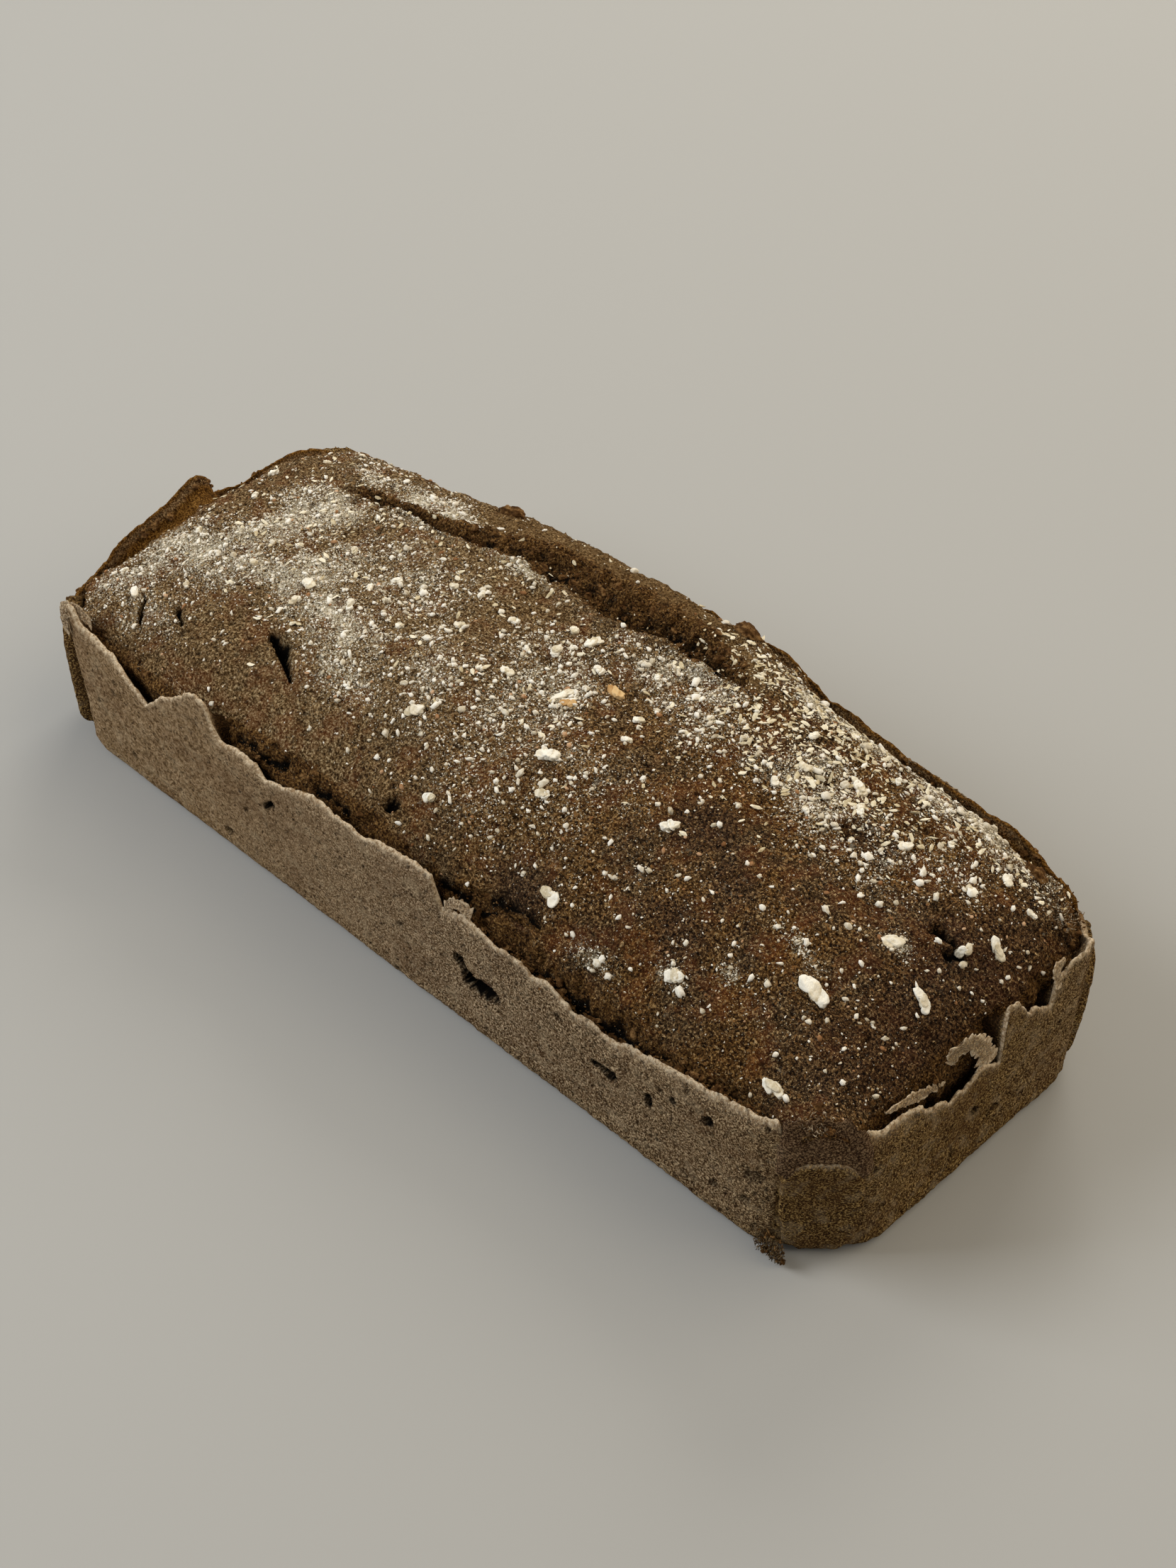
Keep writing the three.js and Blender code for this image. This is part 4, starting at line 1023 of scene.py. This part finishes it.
def ball(level):
    """Points and triangles of a round ball of radius 1."""
    mesh = bmesh.new()
    bmesh.ops.create_icosphere(mesh, subdivisions=level, radius=1)
    points = np.array([v.co[:] for v in mesh.verts])
    faces = np.array([[v.index for v in f.verts] for f in mesh.faces])
    mesh.free()
    return points, faces


def grain_body():
    """Points and faces of a four-sided grain of radius 1."""
    points = np.array([(1, 1, 1), (1, -1, -1), (-1, 1, -1), (-1, -1, 1)]) / math.sqrt(3)
    return points, np.array([(0, 1, 2), (0, 3, 1), (0, 2, 3), (1, 3, 2)])


def laid(body, places, normals, sizes, turns):
    """Copies of bodies of radius 1, each with its own three half sizes and turn, laid on the surface."""
    side = np.stack([np.cos(turns), np.sin(turns), 0 * turns], 1)
    side = unit(side - normals * (side * normals).sum(1)[:, None])
    axes = np.stack([side, np.cross(normals, side), normals], 1) * sizes[:, :, None]
    return places[:, None, :] + np.einsum("nvk,nkc->nvc", body, axes)


def joined(points, faces):
    """One array of points and one of faces from equal bodies in an array."""
    count, each = points.shape[:2]
    return points.reshape(-1, 3), (faces[None] + each * np.arange(count)[:, None, None]).reshape(-1, 3)


def uneven(points, count, amount, size, rng):
    """Copies of a body of radius 1, each bulged in its own way."""
    start = rng.uniform(0, 90, (count, 1))
    x, y, z = points.T
    bulge = noise(x * size + start, y * size + z * size * 1.3 + start * 0.7)
    bulge = bulge + 0.5 * noise(x * size * 2.3 - start, z * size * 2.1 + y * size * 1.9)
    return points[None] * (1 + amount * bulge)[..., None]


def scatter(rng, count, chance):
    """Places on the top in plan, drawn by a chance from 0 to 1."""
    found = np.empty((0, 2))
    while len(found) < count:
        x = rng.uniform(1 - TOP_HALF_LENGTH, TOP_HALF_LENGTH - 1, 4 * count)
        side = np.where(rng.random(4 * count) < 0.5, -1, 1)
        y = side * rng.uniform(0, 0.99, 4 * count) * top_half_width(x, side)
        kept = rng.random(4 * count) < chance(x, y)
        found = np.append(found, np.stack([x[kept], y[kept]], 1), 0)
    return found[:count].T


def by_field(top, key):
    """Chance by a field of the top."""
    return lambda x, y: on_top(top, x, y, key)[0][:, 0]


def floured(top, power, least):
    """Chance by the flour, on whole crust only."""
    clear = by_field(top, "clear")
    return lambda x, y: np.clip(flour_density(x, y), least, 1) ** power * clear(x, y)


def chaff_chance(x, y):
    most = np.maximum.reduce([spot[4] * np.exp(-from_spot(x, y, spot) ** 4) for spot in CHAFF_PLACES])
    return most * (0.7 + 0.4 * rough(x, y, 6, 2, 23.0)).clip(0, 1)


def mostly_small(rng, kind):
    low, high = kind["sizes"]
    return low + (high - low) * rng.random(kind["count"]) ** SMALL_POWER


def strewn(body, places, normals, size, kind, rng):
    """Copies of a body strewn on a surface, each stretched, tilted and turned in its own way."""
    sizes = size[:, None] * rng.uniform(*STRETCHES, (len(size), 3)) * kind["stretch"]
    tilted = unit(normals + rng.normal(0, TILT, normals.shape))
    places = places + normals * size[:, None] * kind["stand"]
    return laid(body, places, tilted, sizes, rng.uniform(0, FULL_TURN, len(size)))


def strew(top, kind, shape, chance, rng, smaller=0.0):
    """Bodies of one kind on the top by a chance, smaller by that share at the left, and the faces of each."""
    points, faces = shape
    x, y = scatter(rng, kind["count"], chance)
    places, normals = on_top(top, x, y, "points", "normal")
    body = uneven(points, len(x), *kind["bulge"], rng) if "bulge" in kind else points[None]
    if "jitter" in kind:
        body = body * rng.uniform(*kind["jitter"], (len(x), len(points), 1))
    size = mostly_small(rng, kind) * (1 - smaller * ease((-30 - x) / 30))
    return strewn(body, places, normals, size, kind, rng), faces


def make_strewn(name, groups, finish, rng, smooth=True):
    """One piece of groups of equal bodies, each body with its own shade and with smooth or flat faces."""
    points, faces = merged([joined(bodies, group_faces) for bodies, group_faces in groups])
    shade = np.concatenate([np.repeat(rng.random(len(bodies)), bodies.shape[1]) for bodies, _ in groups])
    piece = make_piece(name, points, faces, finish, {"shade": shade})
    piece.data.polygons.foreach_set("use_smooth", np.full(len(piece.data.polygons), smooth))


def flakes(top, rng):
    """Cream flakes at the part's places and a few golden ones, as ragged plates."""
    points, faces = ball(3)
    every = LARGE_FLAKES + small_flakes()
    cream, golden = plain_finish("Cream flake"), plain_finish("Golden flake")
    for name, slot, finish, chosen in [
        ("cream_flakes", "flake", cream, [f for i, f in enumerate(every) if i not in GOLDEN_FLAKES]),
        ("golden_flakes", "bran", golden, [every[i] for i in GOLDEN_FLAKES]),
    ]:
        groups = []
        for share, way, size in FLAKE_PLATES:
            x, y, long, wide, turn = np.array(chosen).T
            shift = share * long
            aside = way * wide * rng.uniform(0.4, 1.3, len(x))
            x = x + shift * np.cos(turn) - aside * np.sin(turn)
            y = y + shift * np.sin(turn) + aside * np.cos(turn)
            places, normals = on_top(top, x, y, "points", "normal")
            body = uneven(points, len(x), *FLAKE_BULGE, rng)
            face = 0.2 * rough(body[..., 0] * 3 + x[:, None], body[..., 1] * 3, 1.4, 3)
            body[..., 2] = np.clip(body[..., 2], -0.5, 0.5) + face
            sizes = np.stack([long, wide, np.full(len(x), FLAKE_THICK)], 1) * size
            sizes = sizes * rng.uniform(0.8, 1.1, (len(x), 3))
            turns = turn + rng.normal(0, 0.5, len(x))
            groups.append((laid(body, places + normals * FLAKE_STAND, normals, sizes, turns), faces))
        make_strewn(name, groups, finish, rng)


def rim_crumb_places(rng, count):
    """Places on the torn crest of the far and left rims and in the crevice behind the front rim."""
    in_front = rng.random(count) < FRONT_CRUMB["share"]
    front = HALF_LENGTH + rng.uniform(FRONT_CRUMB["from"], FRONT_CRUMB["to"], count)
    place = np.where(in_front, front, rng.uniform(FAR_CORNER + 10, AROUND + 8, count))
    base, inward = wall_line(np.interp(place, rim_places(), np.arange(len(rim_places()))))
    inset = rng.uniform(0.7, CRUST + CREVICE, count) + FRONT_CRUMB["inset"] * in_front
    z = rim_height(place) - rng.uniform(0.4, 1.8, count) - FRONT_CRUMB["sunk"] * in_front
    return np.concatenate([base + inset[:, None] * inward, z[:, None]], 1)


def torn_crumb(top, finish, rng):
    """Torn crumb in the split and cracks, along the torn rims and at two corners, and the part's blisters."""
    bodies = []
    for kind, level in [(COARSE_CRUMB, 2), (FINE_CRUMB, 1)]:
        count = kind["count"]
        points, faces = ball(level)
        x, y = scatter(rng, count, by_field(top, "torn"))
        places, normals = on_top(top, x, y, "points", "normal")
        first = round(count * RIM_CRUMB)
        places[:first] = rim_crumb_places(rng, first)
        for middle, spread, share in CRUMB_HEAPS:
            more = round(count * share)
            places[first:first + more] = middle + rng.uniform(-1, 1, (more, 3)) * spread
            first += more
        normals[:first] = (0, 0, 1)
        body = uneven(points, count, *kind["bulge"], rng)
        bodies.append(joined(strewn(body, places, normals, mostly_small(rng, kind), kind, rng), faces))
    points, faces = ball(4)
    x, y, size = np.array(KNOBS).T
    places, normals = on_top(top, x, y, "points", "normal")
    body = uneven(points, len(x), *KNOB_BULGE, rng) * (1 + 0.1 * rng.random((len(x), len(points), 1)))
    bodies.append(joined(laid(body, places, normals, np.outer(size, KNOB_SHAPE), 0 * x), faces))
    points, faces = merged(bodies)
    shade = 0.5 + 0.5 * noise(points[:, 0] * 1.3, points[:, 1] * 1.3 + points[:, 2])
    piece = make_piece("torn_crumb", points, faces, finish, {"shade": shade})
    total = len(piece.data.polygons)
    piece.data.polygons.foreach_set("use_smooth", np.arange(total) >= total - len(bodies[-1][1]))


# Finishes


class Finish:
    """One dry matt material, built of nodes."""

    def __init__(self, name):
        self.material = bpy.data.materials.new(name)
        self.material.use_nodes = True
        self.tree = self.material.node_tree
        self.tree.nodes.clear()
        self.place = self.add("ShaderNodeTexCoord").outputs["Object"]

    def add(self, kind, inputs=None, **settings):
        node = self.tree.nodes.new(kind)
        for key, value in settings.items():
            setattr(node, key, value)
        for key, value in (inputs or {}).items():
            if isinstance(value, bpy.types.NodeSocket):
                self.tree.links.new(value, node.inputs[key])
            else:
                node.inputs[key].default_value = value
        return node

    def field(self, name, strength=1.0):
        value = self.add("ShaderNodeAttribute", attribute_name=name).outputs["Fac"]
        return value if strength == 1 else self.math("MULTIPLY", value, strength)

    def math(self, operation, a, b):
        return self.add("ShaderNodeMath", {0: a, 1: b}, operation=operation).outputs[0]

    def noise(self, size, detail=3.0, roughness=0.6, shift=0.0):
        """Noise whose largest features are size millimetres, from about 0.3 to 0.7."""
        place = self.add("ShaderNodeVectorMath", {0: self.place, 1: (shift, shift, shift)}, operation="ADD")
        scale = 1 / (size * MM)
        inputs = {"Vector": place.outputs[0], "Scale": scale, "Detail": detail, "Roughness": roughness}
        return self.add("ShaderNodeTexNoise", inputs).outputs[0]

    def span(self, value, low, high):
        inputs = {"Value": value, "From Min": low, "From Max": high}
        return self.add("ShaderNodeMapRange", inputs, interpolation_type="SMOOTHSTEP").outputs[0]

    def ramp(self, value, stops):
        node = self.add("ShaderNodeValToRGB", {"Fac": value})
        elements = node.color_ramp.elements
        while len(elements) < len(stops):
            elements.new(0.5)
        for element, (place, shade) in zip(elements, stops):
            element.position = place
            element.color = colour(*shade)
        return node.outputs["Color"]

    def mix(self, share, a, b):
        a, b = (colour(*c) if isinstance(c, tuple) else c for c in (a, b))
        return self.add("ShaderNodeMix", {0: share, 6: a, 7: b}, data_type="RGBA").outputs[2]

    def patches(self, shade, grain, low, high, other, strength=1.0):
        """Another shade where a noise of that grain goes from low to high."""
        share = self.span(self.noise(*grain), low, high)
        return self.mix(share, shade, other if strength == 1 else self.mix(strength, shade, other))

    def done(self, shade, height, depth):
        """Ends the material: its colour and a bump of that many millimetres from the height."""
        bump = self.add("ShaderNodeBump", {"Height": height, "Distance": depth * MM})
        inputs = {
            "Base Color": shade, "Roughness": ROUGHNESS, "Specular IOR Level": SPECULAR,
            "Normal": bump.outputs[0],
        }
        shader = self.add("ShaderNodeBsdfPrincipled", inputs)
        self.add("ShaderNodeOutputMaterial", {"Surface": shader.outputs[0]})
        return self.material


def side_finish():
    f = Finish("Side crust")
    grain = f.noise(0.46, 3.0, 0.72)
    soft = f.noise(0.9, 4.0, 0.72)
    calm = f.ramp(soft, [(0.38, (88, 66, 43)), (0.5, (148, 121, 88)), (0.62, (188, 160, 125))])
    shade = f.ramp(grain, [
        (0.4, (47, 29, 14)), (0.47, (125, 98, 70)), (0.53, (167, 139, 104)), (0.61, (240, 216, 182))])
    shade = f.mix(f.field("calm"), shade, calm)
    # Browner by tone: partly the crust's own colour, partly painted shade on the end wall turned away from
    # the main light
    brown = f.ramp(grain, [
        (0.4, (25, 12, 2)), (0.47, (81, 54, 22)), (0.53, (113, 82, 38)), (0.61, (198, 163, 98))])
    shade = f.mix(f.field("tone", 0.92), shade, brown)
    shade = f.patches(shade, (16, 2.0), 0.45, 0.7, (96, 66, 40), 0.3)
    shade = f.patches(shade, (5, 3.0, 0.6, 4.0), 0.5, 0.68, (190, 168, 134), 0.3)
    spots = f.math("SUBTRACT", 1.0, f.span(f.noise(1.1, 2.0, 0.5, 7.7), 0.3, 0.37))
    shade = f.mix(f.math("MULTIPLY", spots, 0.75), shade, (40, 25, 13))
    # Paler along the rim by the edge field: partly the thin edge's own colour and partly a painted highlight,
    # rusty at the far side
    pale = f.ramp(soft, [(0.4, (176, 146, 110)), (0.58, (246, 224, 190))])
    rusty = f.ramp(grain, [(0.38, (58, 32, 7)), (0.5, (112, 75, 30)), (0.62, (166, 122, 60))])
    shade = f.mix(f.span(f.field("edge"), 0.05, 0.9), shade, f.mix(f.field("far"), pale, rusty))
    # Inside the crevice: the torn crust's brown, made darker as painted shade of the recess, rusty at the far
    # side
    deep = f.ramp(grain, [(0.36, (24, 14, 6)), (0.5, (54, 36, 18)), (0.64, (92, 66, 38))])
    shade = f.mix(f.field("inner"), shade, f.mix(f.field("far"), deep, rusty))
    purple = f.ramp(grain, [(0.4, (42, 25, 16)), (0.5, (94, 70, 50)), (0.61, (160, 130, 102))])
    shade = f.mix(f.field("flap"), shade, purple)
    # Painted shade: holes and pores filled with a very deep brown
    shade = f.mix(f.field("hole_painted_shade"), shade, (7, 4, 2))
    fine = f.math("MULTIPLY", grain, f.math("SUBTRACT", 1.0, f.field("calm", 0.7)))
    return f.done(shade, f.math("ADD", soft, fine), 0.9)


def top_finish():
    f = Finish("Top crust")
    grain = f.noise(0.62, 4.0, 0.72)

    def crust(*shades):
        return f.ramp(grain, list(zip((0.4, 0.46, 0.52, 0.57, 0.64), shades)))

    shade = crust((22, 11, 4), (70, 45, 20), (100, 69, 35), (131, 95, 51), (200, 160, 100))
    cool = crust((20, 12, 7), (61, 44, 27), (87, 65, 41), (114, 89, 58), (178, 148, 106))
    shade = f.patches(shade, (15, 2.0, 0.5), 0.42, 0.62, cool)
    shade = f.patches(shade, (1.2, 2.0, 0.5, 3.1), 0.62, 0.68, (150, 108, 62))
    # Lighter crust to the left: partly a fine dusting, partly painted light
    light = crust((46, 30, 13), (102, 77, 47), (135, 108, 72), (166, 138, 98), (228, 204, 160))
    shade = f.mix(f.field("dust_and_painted_light"), shade, light)
    red = f.math("MULTIPLY", f.span(f.noise(9, 3.0, 0.6, 12.0), 0.48, 0.64), 0.5)
    shade = f.mix(red, shade, f.mix(0.6, shade, (126, 66, 32)))
    shade = f.patches(shade, (0.7, 2.0, 0.5, 8.3), 0.64, 0.69, (198, 168, 122))
    # Darker by the stains: real stains and, over the right end, painted shade
    stains_and_shade_ramp = f.ramp(grain, [
        (0.4, (14, 9, 8)), (0.48, (55, 38, 27)), (0.55, (86, 62, 44)), (0.64, (146, 113, 80))])
    shade = f.mix(f.field("stain", 0.7), shade, stains_and_shade_ramp)
    torn = f.ramp(grain, [
        (0.4, (30, 16, 5)), (0.46, (78, 51, 25)), (0.55, (120, 86, 46)), (0.64, (182, 142, 86))])
    shade = f.mix(f.field("torn"), shade, torn)
    bare = f.ramp(grain, [
        (0.36, (60, 39, 18)), (0.46, (106, 80, 47)), (0.56, (140, 111, 72)), (0.68, (176, 149, 104))])
    shade = f.mix(f.field("slope", 0.8), shade, bare)
    # Painted shade in the pits of the crust
    shade = f.mix(f.field("pit", 0.85), shade, (26, 15, 8))
    # Painted shade in the split, cracks, hairlines and gaps
    shade = f.mix(f.field("painted_crevice_shade"), shade, (12, 7, 3))
    flour = f.field("flour")
    speck = f.math("ADD", f.noise(0.5, 3.0, 0.65, 1.7), f.math("MULTIPLY", flour, 0.28))
    film = f.math("ADD", f.noise(2.4, 4.0, 0.7, 5.2), f.math("MULTIPLY", flour, 0.34))
    powder = f.math("MAXIMUM", f.span(speck, 0.66, 0.71), f.math("MULTIPLY", f.span(film, 0.63, 0.86), 0.45))
    white = f.ramp(f.noise(0.5, 2.0), [(0.35, (188, 172, 138)), (0.6, (234, 224, 198))])
    shade = f.mix(powder, shade, white)
    height = f.math("ADD", grain, f.math("MULTIPLY", powder, 0.25))
    return f.done(shade, height, 1.3)


def plain_finish(name):
    size, stops, depth = PLAIN_FINISHES[name]
    f = Finish(name)
    grain = f.noise(size)
    own = f.math("ADD", f.math("MULTIPLY", grain, 0.6), f.field("shade", 0.4))
    return f.done(f.ramp(own, stops), grain, depth)


# Stage


def placed(name, data, place, way):
    """Object of a light or camera at a place, looking along a way."""
    seen = bpy.data.objects.new(name, data)
    seen.location = place
    seen.rotation_euler = way.to_track_quat("-Z", "Y").to_euler()
    bpy.context.scene.collection.objects.link(seen)
    return seen


def stage():
    """Pale floor, soft daylight from the camera's left and the photo's camera."""
    mesh = bpy.data.meshes.new("floor")
    sides = [(-1, -1), (1, -1), (1, 1), (-1, 1)]
    corners = [(x * FLOOR_REACH, y * FLOOR_REACH, -FLOOR_DROP) for x, y in sides]
    mesh.from_pydata(corners, [], [(0, 1, 2, 3)])
    floor = bpy.data.objects.new("floor", mesh)
    bpy.context.scene.collection.objects.link(floor)
    material = bpy.data.materials.new("Floor")
    material.use_nodes = True
    inputs = material.node_tree.nodes["Principled BSDF"].inputs
    inputs["Base Color"].default_value = colour(*FLOOR_COLOUR)
    inputs["Roughness"].default_value = 0.7
    inputs["Specular IOR Level"].default_value = 0.2
    mesh.materials.append(material)

    world = bpy.data.worlds.new("Soft room")
    world.use_nodes = True
    inputs = world.node_tree.nodes["Background"].inputs
    inputs["Color"].default_value = colour(*ROOM["colour"])
    inputs["Strength"].default_value = ROOM["strength"]
    bpy.context.scene.world = world
    for name, (place, aim, size, power, tint) in LIGHTS.items():
        light = bpy.data.lights.new(name, "AREA")
        light.shape = "SQUARE"
        light.size = size
        light.energy = power
        light.color = colour(*tint)[:3]
        placed(name, light, place, Vector(aim) - Vector(place))

    data = bpy.data.cameras.new("Camera")
    data.lens = CAMERA["lens"]
    data.sensor_width = CAMERA["sensor"]
    bpy.context.scene.camera = placed("Camera", data, CAMERA["place"], Vector(CAMERA["view"]))
    bpy.context.scene.view_settings.view_transform = "Standard"


# The order of the pieces is the order in which they draw their random numbers
rng = np.random.default_rng(41)
crust = side_finish()
side_crust(crust)
corner_patches(crust)
loose_skins(crust, rng)
top = top_crust(top_finish())
torn_crumb(top, plain_finish("Torn crumb"), rng)
finish = plain_finish("Crust grit")
grains = [strew(top, GRIT, grain_body(), by_field(top, "clear"), rng)]
make_strewn("crust_grit", grains, finish, rng, False)
finish = plain_finish("Flour")
grains = [strew(top, DUST, grain_body(), floured(top, 1.3, 0.02), rng)]
make_strewn("flour_dust", grains, finish, rng, False)
chips = strew(top, CHIPS, ball(1), floured(top, 1.1, 0.08), rng, LEFT_SMALLER)
lumps = strew(top, LUMPY, ball(2), floured(top, 1.1, 0.08), rng, LEFT_SMALLER)
make_strewn("granules", [chips, lumps], finish, rng)
flakes(top, rng)
finish = plain_finish("Chaff")
make_strewn("chaff", [strew(top, CHAFF, ball(1), chaff_chance, rng)], finish, rng, False)
finish = plain_finish("Bran")
make_strewn("bran", [strew(top, BRAN, ball(1), floured(top, 0.35, 0.25), rng)], finish, rng)
stage()
